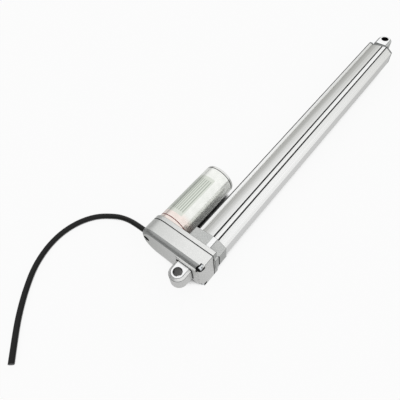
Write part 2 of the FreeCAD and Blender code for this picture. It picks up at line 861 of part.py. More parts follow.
# Flank of an involute tooth as (radius, angle from the middle of the tooth)
def tooth_flank(teeth):
    module = number("gear_module")
    pressure = math.radians(20)
    pitch = module * teeth / 2
    base = pitch * math.cos(pressure)
    tip = pitch + number("tooth_addendum") * module
    root = pitch - number("tooth_dedendum") * module
    half_tooth = math.pi / (2 * teeth) - number("tooth_play") / (4 * pitch)
    involute = math.tan(pressure) - pressure
    flank = [(root, half_tooth + involute)]
    steps = 4
    for step in range(steps + 1):
        radius = base + (tip - base) * step / steps
        slope = math.acos(base / radius)
        flank.append((radius, half_tooth + involute - (math.tan(slope) - slope)))
    return flank


# The driven gear turns a tooth to +Y, the driving one a gap to -Y, so all mesh at rest
def gear_face(teeth, driving):
    flank = tooth_flank(teeth)
    first = math.pi + math.pi / teeth if driving else 0
    points = []
    for tooth in range(teeth):
        middle = first + 2 * math.pi * tooth / teeth
        rising = [(radius, middle - angle) for radius, angle in flank]
        falling = [(radius, middle + angle) for radius, angle in reversed(flank)]
        for radius, angle in rising + falling:
            points.append(FreeCAD.Vector(0, radius * math.cos(angle), radius * math.sin(angle)))
    return Part.Face(Part.makePolygon(points + points[:1]))


def gear_wheel(teeth, start, end, driving):
    face = gear_face(round(number(teeth)), driving)
    face.translate(FreeCAD.Vector(number(start), 0, 0))
    return face.extrude(FreeCAD.Vector(number(end) - number(start), 0, 0))


def gear_piece(label, shape, bore, across):
    drill = Part.makeCylinder(number(bore), number("closed_centres"), FreeCAD.Vector(),
                              FreeCAD.Vector(1, 0, 0))
    solid = doc.addObject("Part::Feature", label)
    solid.Shape = shape.cut(drill)
    bind(solid, "Placement.Base.y", across)
    return solid


def screw_gear():
    wheel = gear_wheel("screw_gear_teeth", "screw_gear_start", "screw_gear_end", False)
    return gear_piece("screw_gear", wheel, "journal_radius", "0")


def idler_gear():
    large = gear_wheel("idler_large_teeth", "idler_step", "idler_end", False)
    small = gear_wheel("idler_small_teeth", "idler_start", "idler_step", True)
    return gear_piece("idler_gear", large.fuse(small), "axle_radius + running_fit",
                      "idler_offset")


def motor_pinion():
    wheel = gear_wheel("pinion_teeth", "pinion_start", "pinion_end", True)
    return gear_piece("motor_pinion", wheel, "shaft_radius", "motor_offset")


# Motor: the can is held by two screws from inside the front housing
def motor_screw_bars(label, start, end, radius):
    return [bar("%s_%d" % (label, index), start, end, radius, "motor_offset", up)
            for index, up in enumerate(("motor_screw_reach", "-motor_screw_reach"))]


def motor_screws():
    heads = motor_screw_bars("motor_screw_head", "front_start",
                             "front_start + motor_screw_head_height", "motor_screw_head_radius")
    shanks = motor_screw_bars("motor_screw_shank", "front_start", "can_inner_front",
                              "motor_screw_radius")
    return joined("motor_screws", heads + shanks)


def motor_can():
    corners = [
        ("can_boss_start", "motor_bush_radius"),
        ("can_boss_start", "can_boss_radius"),
        ("rim_end", "can_boss_radius"),
        ("rim_end", "can_radius"),
        ("can_end", "can_radius"),
        ("can_end", "can_bore"),
        ("can_inner_front", "can_bore"),
        ("can_inner_front", "motor_bush_radius"),
    ]
    return carved("motor_can", turned("can_shell", corners, "motor_offset"),
                  motor_screw_bars("can_screw_hole", "front_start", "can_end",
                                   "motor_screw_radius"))


def motor_end_cap():
    plug = "can_bore - running_fit"
    pocket = "motor_end - motor_bush_length"
    corners = [
        ("card_seat", plug),
        ("can_end", plug),
        ("can_end", "can_radius"),
        ("motor_end - cap_rim_bevel", "can_radius"),
        ("motor_end", "can_radius - cap_rim_bevel"),
        ("motor_end", "0"),
        ("shaft_end + sliding_fit", "0"),
        ("shaft_end + sliding_fit", "motor_bush_radius"),
        (pocket, "motor_bush_radius"),
        (pocket, "can_boss_radius"),
        ("can_end", "can_boss_radius"),
        ("can_end", "%s - can_wall" % plug),
        ("card_seat", "%s - can_wall" % plug),
    ]
    return turned("motor_end_cap", corners, "motor_offset")


def motor_bushes():
    inner = "shaft_radius + running_fit"
    front = ring("front_motor_bush", "can_boss_start", "can_boss_start + motor_bush_length",
                 "motor_bush_radius", inner, "motor_offset")
    rear = ring("end_motor_bush", "motor_end - motor_bush_length",
                "shaft_end + sliding_fit", "motor_bush_radius", inner, "motor_offset")
    return joined("motor_bushes", [front, rear])


def motor_shaft():
    return bar("motor_shaft", "shaft_start", "shaft_end", "shaft_radius", "motor_offset")


# Armature laminations with winding slots, as a pad and a polar pattern of pockets
def armature_core():
    body = doc.addObject("PartDesign::Body", "core_stack")
    half = "core_radius"
    corners = [("-(%s)" % half, "0", "0", "0", "left"), (half, "0", "0", "0", "left")]
    sketch = closed_sketch(body, "core_section", "YZ_Plane", corners, "core_start")
    pad = body.newObject("PartDesign::Pad", "core_pad")
    pad.Profile = sketch
    bind(pad, "Length", "core_end - core_start")
    doc.recompute()
    slot = closed_sketch(body, "slot_section", "YZ_Plane", [
        ("slot_root_radius", "-slot_width / 2"),
        ("core_radius + slot_width", "-slot_width / 2"),
        ("core_radius + slot_width", "slot_width / 2"),
        ("slot_root_radius", "slot_width / 2"),
    ], "core_start")
    pocket = body.newObject("PartDesign::Pocket", "slot_pocket")
    pocket.Profile = slot
    pocket.Reversed = True
    bind(pocket, "Length", "core_end - core_start")
    doc.recompute()
    slots = body.newObject("PartDesign::PolarPattern", "slot_pattern")
    slots.Originals = [pocket]
    slots.Axis = (sketch, ["N_Axis"])
    slots.Angle = 360
    slots.Occurrences = round(number("slot_count"))
    body.Tip = slots
    bind(body, "Placement.Base.y", "motor_offset")
    return carved("armature_core", body, [
        bar("core_bore", "rear_face", "motor_end", "shaft_radius", "motor_offset")])


def armature_winding():
    coils = [
        ring("rear_coil", "core_end", "core_end + winding_length", "winding_radius",
             "2 * shaft_radius", "motor_offset"),
        ring("front_coil", "core_start - winding_length", "core_start", "winding_radius",
             "2 * shaft_radius", "motor_offset"),
    ]
    return joined("armature_winding", coils)


def commutator():
    return ring("commutator", "commutator_start", "commutator_start + commutator_length",
                "commutator_radius", "shaft_radius", "motor_offset")


# Two magnet shells, parted above and below the shaft
def motor_magnets():
    outer = "can_bore - running_fit"
    shell = ring("magnet_shell", "magnet_start", "magnet_end", outer,
                 "%s - magnet_thickness" % outer, "motor_offset")
    part_line = block("magnet_gap", "rear_face", "motor_end",
                      "motor_offset - magnet_gap_half", "motor_offset + magnet_gap_half",
                      "-can_radius", "can_radius")
    return carved("motor_magnets", shell, [part_line])


def brush_card():
    plug = "can_bore - running_fit"
    plate = ring("card_plate", "card_seat - card_thickness", "card_seat", plug,
                 "card_hole_radius", "motor_offset")
    holders = []
    for index, side in enumerate(("", "-")):
        near = "%s(commutator_radius + 2 * running_fit)" % side
        far = "%s(commutator_radius + brush_length)" % side
        bottom, top = (near, far) if side == "" else (far, near)
        holders.append(block("brush_%d" % index, "brush_start", "card_seat",
                             "motor_offset - brush_half_width",
                             "motor_offset + brush_half_width", bottom, top))
    return joined("brush_card", [plate] + holders)


def motor_label():
    return ring("motor_label", "label_start", "label_end", "can_radius + label_thickness",
                "can_radius", "motor_offset")


def label_band():
    outer = "can_radius + label_thickness"
    return ring("label_band", "band_start", "band_start + band_width",
                "%s + band_rise" % outer, outer, "motor_offset")


# Limit switch strip in the duct of the tube
def limit_board():
    return block("limit_board", "board_start", "board_end", "-duct_right + board_gap",
                 "-switch_seat", "-duct_bottom + board_gap", "duct_top - board_gap")


def limit_switches():
    pieces = []
    for index, shift in enumerate(("0", "stroke")):
        middle = "switch_middle + %s" % shift
        pieces.append(block("switch_%d" % index, "%s - switch_length / 2" % middle,
                            "%s + switch_length / 2" % middle, "-switch_seat",
                            "-switch_seat + switch_height",
                            "-switch_half_width", "switch_half_width"))
    return joined("limit_switches", pieces)


def cable_grommet():
    return cable_bar("cable_grommet", "grommet_start", "grommet_end", "grommet_radius")


# Points of the free cable, from the grommet to its cut end on the table
cable_points = [
    (19.0, 63.2, -6.5),
    (19.0, 79.0, -6.5),
    (19.5, 97.0, -13.5),
    (15.5, 113.5, -17.4),
    (0.2, 133.2, -17.4),
    (-24.0, 145.0, -17.4),
    (-51.4, 146.8, -17.4),
    (-80.1, 138.6, -17.4),
    (-104.3, 123.2, -17.4),
    (-125.5, 105.9, -17.4),
    (-141.6, 89.8, -17.4),
    (-157.8, 72.6, -17.4),
]


def power_cable():
    points = [FreeCAD.Vector(*point) for point in cable_points]
    edges = []
    begin = points[0]
    for before, corner, after in zip(points, points[1:], points[2:]):
        back = before - corner
        ahead = after - corner
        shorter = min(back.Length, ahead.Length)
        turn = math.pi - back.getAngle(ahead)
        reach = 0.45 * shorter
        print("cable radius", round(reach / math.tan(turn / 2), 1))
        back.normalize()
        ahead.normalize()
        into = corner + back * reach
        out = corner + ahead * reach
        inward = (back + ahead).normalize()
        depth = reach * math.tan(turn / 4)
        edges.append(Part.LineSegment(begin, into).toShape())
        edges.append(Part.Arc(into, corner + inward * depth, out).toShape())
        begin = out
    edges.append(Part.LineSegment(begin, points[-1]).toShape())
    path = Part.Wire(edges)
    start = points[0]
    radius = number("cable_radius")
    section = Part.Wire([Part.Circle(start, points[1] - start, radius).toShape()])
    cable = doc.addObject("Part::Feature", "power_cable")
    cable.Shape = path.makePipeShell([section], True, False, 2)
    print("cable length", round(path.Length, 1),
          "volume ratio", round(cable.Shape.Volume / (math.pi * radius ** 2 * path.Length), 4))
    return cable


makers = [
    rear_housing, housing_gasket, front_housing, rear_clevis, housing_screws,
    outer_tube, tube_end_cap, end_cap_screws, rod_wiper, guide_bush,
    inner_rod, rod_eye, lead_nut, nut_key,
    lead_screw, screw_tip_guide, screw_clip, screw_gear, main_bearing, rear_bush,
    gear_axle, idler_gear, motor_pinion,
    motor_can, motor_screws, motor_end_cap, motor_bushes, motor_shaft, armature_core, armature_winding,
    commutator, motor_magnets, brush_card, motor_label, label_band,
    limit_board, limit_switches, cable_grommet, power_cable,
]
nodes = [maker() for maker in makers]
doc.recompute()

# Every object is sound before anything is written
for thing in doc.Objects:
    if "Invalid" in thing.State or "Error" in thing.State:
        raise RuntimeError("failed: " + thing.Label)
for node in nodes:
    shape = node.Shape
    if shape.isNull() or not shape.isValid() or shape.Volume <= 0:
        raise RuntimeError("bad shape: " + node.Label)
    print(node.Label, len(shape.Solids), round(shape.Volume, 1))
    shape.exportStep("parts/%s.step" % node.Label)
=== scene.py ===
import math

import bmesh
import bpy
from mathutils import Matrix, Vector


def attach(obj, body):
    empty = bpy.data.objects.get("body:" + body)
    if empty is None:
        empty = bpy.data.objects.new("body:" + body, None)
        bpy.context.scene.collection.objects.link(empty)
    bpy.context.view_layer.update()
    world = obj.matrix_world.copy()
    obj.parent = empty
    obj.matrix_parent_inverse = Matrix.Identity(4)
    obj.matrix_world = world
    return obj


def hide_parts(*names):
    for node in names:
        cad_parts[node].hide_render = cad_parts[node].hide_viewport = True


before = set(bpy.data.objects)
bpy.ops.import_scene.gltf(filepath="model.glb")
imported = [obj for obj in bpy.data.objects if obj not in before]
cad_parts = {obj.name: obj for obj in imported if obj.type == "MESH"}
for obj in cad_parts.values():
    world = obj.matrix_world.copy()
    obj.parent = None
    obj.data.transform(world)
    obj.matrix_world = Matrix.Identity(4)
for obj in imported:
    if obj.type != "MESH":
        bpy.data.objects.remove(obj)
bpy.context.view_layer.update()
print("frame loaded:", len(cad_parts), "nodes")

mm = 0.001


def linear(hexColour):
    channels = [int(hexColour[i:i + 2], 16) / 255 for i in (1, 3, 5)]
    return [c / 12.92 if c <= 0.04045 else ((c + 0.055) / 1.055) ** 2.4 for c in channels] + [1]


# one node with its settings and its incoming links
def addNode(tree, kind, settings=None, links=None):
    node = tree.nodes.new(kind)
    for key, value in (settings or {}).items():
        if key == "stops":      # (position, hex colour) pairs of a colour ramp
            elements = node.color_ramp.elements
            elements.remove(elements[0])
            elements[0].position, elements[0].color = value[0][0], linear(value[0][1])
            for position, colour in value[1:]:
                elements.new(position).color = linear(colour)
        elif isinstance(key, int) or key in node.inputs:
            node.inputs[key].default_value = value
        else:
            setattr(node, key, value)
    for key, source in (links or {}).items():
        tree.links.new(source, node.inputs[key])
    return node


def newMaterial(name):
    material = bpy.data.materials.new(name)
    material.use_nodes = True
    material.node_tree.nodes.clear()
    return material, material.node_tree


noiseRange = (0.3, 0.7)     # nearly all values of a noise pattern lie between these
grainDepth = 0.3            # depth of a speck's bump as a share of its width


# A metal or plastic with grain: noise in the colour, the roughness and a fine bump.
# grain is the size of one speck in mm, cloud that of a broad patch, stretch draws it out.
def grainFinish(name, look):
    material, tree = newMaterial(name)
    place = addNode(tree, "ShaderNodeTexCoord").outputs["Object"]
    drawn = addNode(tree, "ShaderNodeMapping", {"Scale": look.get("stretch", (1, 1, 1))},
                    {"Vector": place}).outputs["Vector"]
    speck = addNode(tree, "ShaderNodeTexNoise",
                    {"Scale": 1 / (look["grain"] * mm), "Detail": 3, "Roughness": 0.6},
                    {"Vector": drawn}).outputs["Fac"]
    cloud = addNode(tree, "ShaderNodeTexNoise",
                    {"Scale": 1 / (look["cloud"] * mm), "Detail": 4, "Roughness": 0.55},
                    {"Vector": drawn if look.get("drawnCloud") else place}).outputs["Fac"]
    share = look.get("cloudShare", 0.3)
    blend = addNode(tree, "ShaderNodeMath",
                    {"operation": "MULTIPLY_ADD", 1: 0.9 - share, 2: 0.05},
                    {0: speck}).outputs[0]
    mixed = addNode(tree, "ShaderNodeMath", {"operation": "MULTIPLY_ADD", 1: share},
                    {0: cloud, 2: blend}).outputs[0]
    low, high = noiseRange
    colour = addNode(tree, "ShaderNodeValToRGB",
                     {"stops": [(low, look["dark"]), (high, look["light"])]},
                     {"Fac": mixed}).outputs["Color"]
    rough = addNode(tree, "ShaderNodeMapRange",
                    {"From Min": low, "From Max": high, "To Min": look["rough"][0],
                     "To Max": look["rough"][1]}, {"Value": mixed}).outputs[0]
    bump = addNode(tree, "ShaderNodeBump",
                   {"Strength": look["bump"], "Distance": look["grain"] * mm * grainDepth},
                   {"Height": speck}).outputs["Normal"]
    shader = addNode(tree, "ShaderNodeBsdfPrincipled",
                     {"Metallic": look.get("metallic", 0), "IOR": look.get("ior", 1.5),
                      "Specular IOR Level": look.get("specular", 0.5)},
                     {"Base Color": colour, "Roughness": rough, "Normal": bump})
    addNode(tree, "ShaderNodeOutputMaterial", {}, {"Surface": shader.outputs[0]})
    return material


# Aluminium die casting, blasted: pale, nearly matt, with the blasting's sparkle.
# The real grit leaves 0.1 mm marks; they are drawn 0.6 mm wide, so that they show.
castAlloy = grainFinish("aluminiumDieCastBlasted", {
    "dark": "#d3d4d3", "light": "#fbfbf9", "grain": 0.6, "cloud": 14, "cloudShare": 0.12,
    "rough": (0.34, 0.46), "bump": 0.35, "metallic": 1})
# The same casting, greyer and coarser: painted shade, for the rod eye and the shaded faces of
# the front housing
castShaded = grainFinish("aluminiumDieCastPaintedShade", {
    "dark": "#a9abaa", "light": "#dedfdd", "grain": 0.8, "cloud": 10, "cloudShare": 0.12,
    "rough": (0.44, 0.58), "bump": 0.5, "metallic": 1})
# Its edges: a darker hairline of painted shade
castEdgeShade = grainFinish("aluminiumDieCastEdgePaintedShade", {
    "dark": "#5c5e5d", "light": "#8a8c8b", "grain": 0.8, "cloud": 5, "rough": (0.35, 0.5),
    "bump": 0.2, "metallic": 1})
# The same casting where a cutter has faced it: white, with fine cutter lines
milledFace = grainFinish("aluminiumMilled", {
    "dark": "#f0f1f1", "light": "#ffffff", "grain": 0.8, "cloud": 6, "rough": (0.2, 0.28),
    "bump": 0.08, "metallic": 1, "stretch": (0.1, 1, 1)})
# Bores, sinks, slits, sockets and grooves: nearly black, painted shade in the hollows
recessShade = grainFinish("aluminiumRecessPaintedShade", {
    "dark": "#141414", "light": "#2e2e2d", "grain": 0.5, "cloud": 4, "rough": (0.3, 0.45),
    "bump": 0.15, "metallic": 0.8})
# Pin bore, reamed: dark with painted shade, but still with the gloss of the reamer
reamedBoreShade = grainFinish("aluminiumBoreReamedPaintedShade", {
    "dark": "#4a4a49", "light": "#6a6a68", "grain": 0.5, "cloud": 5, "rough": (0.25, 0.36),
    "bump": 0.1, "metallic": 1, "stretch": (1, 1, 0.1)})
# Aluminium profile, silver anodised: silky, with die lines along the whole length.
# Real die lines are 0.2 mm apart; they are drawn 1.2 mm wide.
anodisedTube = grainFinish("aluminiumExtrudedAnodised", {
    "dark": "#dcdddb", "light": "#ffffff", "grain": 1.2, "cloud": 7, "rough": (0.16, 0.24),
    "bump": 0.05, "metallic": 1, "stretch": (0.004, 1, 1), "drawnCloud": True})


# A copy of a finish that falls off along one axis, between two places in mm
def fadeFinish(source, name, axis, places, low):
    material = source.copy()
    material.name = name
    tree = material.node_tree
    shader = next(node for node in tree.nodes if node.type == "BSDF_PRINCIPLED")
    colour = shader.inputs["Base Color"].links[0].from_socket
    place = addNode(tree, "ShaderNodeTexCoord").outputs["Object"]
    parts = addNode(tree, "ShaderNodeSeparateXYZ", {}, {"Vector": place})
    fall = addNode(tree, "ShaderNodeMapRange",
                   {"From Min": places[0] * mm, "From Max": places[1] * mm},
                   {"Value": parts.outputs[axis]}).outputs[0]
    shade = addNode(tree, "ShaderNodeValToRGB", {"stops": [(0, "#ffffff"), (1, low)]},
                    {"Fac": fall}).outputs["Color"]
    both = addNode(tree, "ShaderNodeMix", {"data_type": "RGBA", "blend_type": "MULTIPLY", 0: 1},
                   {6: colour, 7: shade}).outputs[2]
    tree.links.new(both, shader.inputs["Base Color"])
    return material


# The profile, a touch greyer towards its far end: painted shade
tubeFarShade = fadeFinish(anodisedTube, "aluminiumExtrudedFarPaintedShade", "X", (150, 430), "#e6e6e4")
# The round flank of the profile: painted shade, darker towards the foot of the lip
flankShade = fadeFinish(tubeFarShade, "aluminiumExtrudedFlankPaintedShade", "Y", (-5.5, 7.8), "#b4b4b1")
# The wall of the lip beside it, which no die land rubs: pale and matt
lipWall = grainFinish("aluminiumExtrudedWall", {
    "dark": "#e2e2df", "light": "#f6f6f4", "grain": 1.2, "cloud": 7, "rough": (0.4, 0.5),
    "bump": 0.05, "metallic": 0.25, "stretch": (0.004, 1, 1), "drawnCloud": True})
# The housing, a little greyer towards its end above the motor
castFar = fadeFinish(castAlloy, "aluminiumDieCastBlastedFar", "Y", (5, 58), "#e0e1e0")
# Rounds along the edge: a dark band of painted shade
castRoundShade = grainFinish("aluminiumDieCastRoundPaintedShade", {
    "dark": "#8b8d8c", "light": "#b6b7b6", "grain": 0.6, "cloud": 14, "cloudShare": 0.12,
    "rough": (0.4, 0.5), "bump": 0.35, "metallic": 1})
# The profile's corners and edge lines: dark painted shade
tubeEdgeShade = grainFinish("aluminiumExtrudedCornerPaintedShade", {
    "dark": "#3c3d3c", "light": "#5a5b5a", "grain": 1.2, "cloud": 7, "rough": (0.3, 0.4),
    "bump": 0.05, "metallic": 1, "stretch": (0.004, 1, 1), "drawnCloud": True})
# Groove floors of the profile: dark with painted shade
grooveShade = grainFinish("aluminiumGroovePaintedShade", {
    "dark": "#262727", "light": "#434444", "grain": 0.8, "cloud": 20, "rough": (0.4, 0.5),
    "bump": 0.1, "metallic": 0.8, "stretch": (0.01, 1, 1)})
# Aluminium plate of the end cap, anodised grey: a darker line round the profile's end
anodisedPlate = grainFinish("aluminiumPlateAnodised", {
    "dark": "#747675", "light": "#929493", "grain": 0.8, "cloud": 8, "rough": (0.3, 0.42),
    "bump": 0.25, "metallic": 1})
# Stainless rod, ground and polished: grinding marks run round it
polishedSteel = grainFinish("stainlessSteelPolished", {
    "dark": "#c4c5c6", "light": "#e6e7e8", "grain": 0.4, "cloud": 12, "rough": (0.12, 0.2),
    "bump": 0.06, "metallic": 1, "stretch": (1, 0.05, 0.05)})
# Bright turned steel: grey, with tool marks
turnedSteel = grainFinish("carbonSteelTurned", {
    "dark": "#8d8f90", "light": "#bcbdbd", "grain": 0.3, "cloud": 6, "rough": (0.25, 0.4),
    "bump": 0.2, "metallic": 1})
# Zinc plating, clear passivated: bright with a cold tint
zincPlate = grainFinish("steelZincPlated", {
    "dark": "#c9cdd0", "light": "#f0f3f4", "grain": 0.4, "cloud": 5, "rough": (0.18, 0.3),
    "bump": 0.1, "metallic": 1})
# Drawn steel sheet, nickel plated: bright rings and a soft mirror
canSteel = grainFinish("steelSheetNickelPlated", {
    "dark": "#d0d1cf", "light": "#f2f2ef", "grain": 0.5, "cloud": 10, "rough": (0.14, 0.24),
    "bump": 0.08, "metallic": 1, "stretch": (1, 0.1, 0.1)})
# Nitrile rubber: matt black with a dusting bloom
blackRubber = grainFinish("nitrileRubber", {
    "dark": "#0a0a0a", "light": "#161616", "grain": 0.4, "cloud": 5, "rough": (0.55, 0.75),
    "bump": 0.3, "ior": 1.52})
# Natural acetal, moulded: milky and waxy
naturalAcetal = grainFinish("acetalNatural", {
    "dark": "#dcdacf", "light": "#efeee6", "grain": 0.5, "cloud": 8, "rough": (0.3, 0.42),
    "bump": 0.1, "ior": 1.48})
# Turned brass, also for the sintered bushes: warm yellow with fine tool marks
turnedBrass = grainFinish("brassTurned", {
    "dark": "#a98444", "light": "#cfae6a", "grain": 0.3, "cloud": 5, "rough": (0.22, 0.36),
    "bump": 0.15, "metallic": 1})
# Enamelled copper wire, wound: red-brown with the ridges of the turns
enamelledCopper = grainFinish("copperEnamelled", {
    "dark": "#7a3418", "light": "#b8612f", "grain": 0.5, "cloud": 4, "rough": (0.25, 0.4),
    "bump": 0.6, "metallic": 0.9, "stretch": (0.3, 1, 1)})
# Stacked electrical sheet: the 0.5 mm laminations show as lines
sheetIron = grainFinish("electricalSheetStacked", {
    "dark": "#4c4e50", "light": "#77797b", "grain": 0.5, "cloud": 8, "rough": (0.4, 0.55),
    "bump": 0.5, "metallic": 1, "stretch": (1, 0.03, 0.03)})
# Sintered ferrite: charcoal and slightly rough
ferrite = grainFinish("ferriteSintered", {
    "dark": "#232426", "light": "#3a3b3d", "grain": 0.4, "cloud": 6, "rough": (0.5, 0.65),
    "bump": 0.3})
# Phenolic brush card and switch cases: brown-black moulding
phenolic = grainFinish("phenolicMoulded", {
    "dark": "#1c1613", "light": "#2f2622", "grain": 0.3, "cloud": 5, "rough": (0.4, 0.55),
    "bump": 0.2})
# Glass laminate under green solder mask, glossy
solderMask = grainFinish("solderMaskOnLaminate", {
    "dark": "#0d3f24", "light": "#17603a", "grain": 0.4, "cloud": 6, "rough": (0.25, 0.35),
    "bump": 0.15})
# Dark red printed line on the label film, glossy
redFilm = grainFinish("vinylFilmRed", {
    "dark": "#5e120c", "light": "#7c1f16", "grain": 0.6, "cloud": 6, "rough": (0.2, 0.3),
    "bump": 0.05})
# Soft PVC jacket: black with a soft gloss and faint drawing marks
pvcJacket = grainFinish("pvcJacketBlack", {
    "dark": "#030303", "light": "#090909", "grain": 0.6, "cloud": 12, "rough": (0.26, 0.36),
    "bump": 0.12, "ior": 1.53, "specular": 0.25})

# Label film round the motor: x and angles round the axis, in mm and degrees from +Y.
# The place for the data is a bare tinted panel with plain rules across it, and the film
# has a blush of pink at the end by the housing. The soft values are the widths over
# which each fades out: along and round for the panel, along and across for the rules.
label = {
    "start": 35.4, "end": 116.2, "radius": 18.5, "thickness": 0.2, "lip": 0.05,
    "segments": 160, "axis": 41.5, "white": "#fafbf7", "shade": "#eff1ec",
    "panel": "#dce0d7", "panelX": (47, 103), "panelTurn": (24, 110), "panelSoft": (1, 3),
    "rule": "#a3aba0", "ruleStep": 2.7, "ruleShare": 0.26, "ruleInset": 4,
    "ruleSoft": (0.5, 0.08),
    "blush": "#f3c9bb", "blushX": (36, 46), "blushSoft": 6, "blushShare": 0.35,
    "mottle": 6, "rough": (0.12, 0.16), "bump": 0.015, "bumpDepth": 0.3, "metallic": 0.72,
}


def makeLabelFilm():
    material, tree = newMaterial("vinylFilmSilverWhite")
    place = addNode(tree, "ShaderNodeTexCoord").outputs["Object"]
    centred = addNode(tree, "ShaderNodeMapping", {"Location": (0, -label["axis"] * mm, 0)},
                      {"Vector": place}).outputs["Vector"]
    parts = addNode(tree, "ShaderNodeSeparateXYZ", {}, {"Vector": centred})
    turn = addNode(tree, "ShaderNodeMath", {"operation": "ARCTAN2"},
                   {0: parts.outputs["Z"], 1: parts.outputs["Y"]}).outputs[0]

    # soft step up at one value and down at the other
    def band(source, low, high, soft):
        rise = addNode(tree, "ShaderNodeMapRange", {"From Min": low - soft, "From Max": low},
                       {"Value": source}).outputs[0]
        fall = addNode(tree, "ShaderNodeMapRange",
                       {"From Min": high, "From Max": high + soft, "To Min": 1, "To Max": 0},
                       {"Value": source}).outputs[0]
        return addNode(tree, "ShaderNodeMath", {"operation": "MULTIPLY"},
                       {0: rise, 1: fall}).outputs[0]

    panelX, panelTurn, panelSoft = label["panelX"], label["panelTurn"], label["panelSoft"]
    across = band(parts.outputs["X"], *[x * mm for x in panelX], panelSoft[0] * mm)
    around = band(turn, *[math.radians(angle) for angle in panelTurn],
                  math.radians(panelSoft[1]))
    panel = addNode(tree, "ShaderNodeMath", {"operation": "MULTIPLY"},
                    {0: across, 1: around}).outputs[0]
    step = label["ruleStep"] / label["radius"]
    rows = addNode(tree, "ShaderNodeMath", {"operation": "MULTIPLY", 1: 1 / step},
                   {0: turn}).outputs[0]
    row = addNode(tree, "ShaderNodeMath", {"operation": "FRACT"}, {0: rows}).outputs[0]
    half, inset, ruleSoft = label["ruleShare"] / 2, label["ruleInset"], label["ruleSoft"]
    ruled = band(row, 0.5 - half, 0.5 + half, ruleSoft[1])
    inner = band(parts.outputs["X"], (panelX[0] + inset) * mm, (panelX[1] - inset) * mm,
                 ruleSoft[0] * mm)
    for limit in (inner, panel):
        ruled = addNode(tree, "ShaderNodeMath", {"operation": "MULTIPLY"},
                        {0: ruled, 1: limit}).outputs[0]
    blush = band(parts.outputs["X"], *[x * mm for x in label["blushX"]],
                 label["blushSoft"] * mm)
    blush = addNode(tree, "ShaderNodeMath",
                    {"operation": "MULTIPLY", 1: label["blushShare"]},
                    {0: blush}).outputs[0]
    mottle = addNode(tree, "ShaderNodeTexNoise",
                     {"Scale": 1 / (label["mottle"] * mm), "Detail": 2},
                     {"Vector": place}).outputs["Fac"]
    colour = addNode(tree, "ShaderNodeValToRGB",
                     {"stops": list(zip(noiseRange, (label["shade"], label["white"])))},
                     {"Fac": mottle}).outputs["Color"]
    for factor, tint in ((blush, label["blush"]), (panel, label["panel"]),
                         (ruled, label["rule"])):
        colour = addNode(tree, "ShaderNodeMix", {"data_type": "RGBA", 7: linear(tint)},
                         {0: factor, 6: colour}).outputs[2]
    rough = addNode(tree, "ShaderNodeMapRange",
                    {"To Min": label["rough"][0], "To Max": label["rough"][1]},
                    {"Value": mottle}).outputs[0]
    bump = addNode(tree, "ShaderNodeBump",
                   {"Strength": label["bump"], "Distance": label["bumpDepth"] * mm},
                   {"Height": mottle}).outputs["Normal"]
    shader = addNode(tree, "ShaderNodeBsdfPrincipled", {"Metallic": label["metallic"]},
                     {"Base Color": colour, "Roughness": rough, "Normal": bump})
    addNode(tree, "ShaderNodeOutputMaterial", {}, {"Surface": shader.outputs[0]})
    return material


# Metallised vinyl film: silver-white, with a mirror gloss that only the print dulls
labelFilm = makeLabelFilm()

nodeFinish = {
    "rear_housing": castFar, "front_housing": castFar, "rear_clevis": castAlloy,
    # painted shade on the rod eye and the outer tube
    "rod_eye": castShaded, "housing_gasket": blackRubber, "rod_wiper": blackRubber,
    "cable_grommet": blackRubber, "outer_tube": tubeFarShade, "tube_end_cap": anodisedPlate,
    "inner_rod": polishedSteel, "lead_screw": turnedSteel, "screw_clip": turnedSteel,
    "gear_axle": turnedSteel, "motor_shaft": turnedSteel, "main_bearing": turnedSteel,
    "housing_screws": zincPlate, "end_cap_screws": zincPlate, "motor_screws": zincPlate,
    "motor_can": canSteel, "motor_end_cap": canSteel, "guide_bush": naturalAcetal,
    "lead_nut": naturalAcetal, "nut_key": naturalAcetal, "screw_tip_guide": naturalAcetal,
    "screw_gear": naturalAcetal, "idler_gear": naturalAcetal, "motor_pinion": turnedBrass,
    "rear_bush": turnedBrass, "motor_bushes": turnedBrass, "armature_winding": enamelledCopper,
    "commutator": enamelledCopper, "armature_core": sheetIron, "motor_magnets": ferrite,
    "brush_card": phenolic, "limit_switches": phenolic, "limit_board": solderMask,
    "label_band": redFilm, "motor_label": labelFilm,
}
for name, finish in nodeFinish.items():
    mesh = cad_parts[name].data
    mesh.materials.clear()
    mesh.materials.append(finish)
print("finishes on", len(nodeFinish), "nodes")

# The free cable: the route's points are those of the solid
cable = {
    "route": [(19, 63.2, -6.5), (19, 79, -6.5), (19.5, 97, -13.5), (15.5, 113.5, -17.4),
              (0.2, 133.2, -17.4), (-24, 145, -17.4), (-51.4, 146.8, -17.4),
              (-80.1, 138.6, -17.4), (-104.3, 123.2, -17.4), (-125.5, 105.9, -17.4),
              (-141.6, 89.8, -17.4), (-157.8, 72.6, -17.4)],
    "radius": 3, "length": 262,
}


def makeCable():
    curve = bpy.data.curves.new("powerCable", "CURVE")
    curve.dimensions = "3D"
    curve.bevel_depth = cable["radius"] * mm
    curve.bevel_resolution = 8
    curve.use_fill_caps = True
    curve.resolution_u = 16
    spline = curve.splines.new("NURBS")
    spline.points.add(len(cable["route"]) - 1)
    for point, place in zip(spline.points, cable["route"]):
        point.co = (*[v * mm for v in place], 1)
    spline.order_u = 3
    spline.use_endpoint_u = True
    piece = bpy.data.objects.new("powerCable", curve)
    bpy.context.scene.collection.objects.link(piece)
    curve.materials.append(pvcJacket)
    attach(piece, "actuator_body")
    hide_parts("power_cable")


makeCable()
print("cable laid")


# A piece from a bmesh, riding on its body
def addPiece(name, bm, materials, body, replaced=()):
    mesh = bpy.data.meshes.new(name)
    bm.to_mesh(mesh)
    bm.free()
    for material in materials:
        mesh.materials.append(material)
    piece = bpy.data.objects.new(name, mesh)
    bpy.context.scene.collection.objects.link(piece)
    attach(piece, body)
    if replaced:
        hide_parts(*replaced)
    return piece


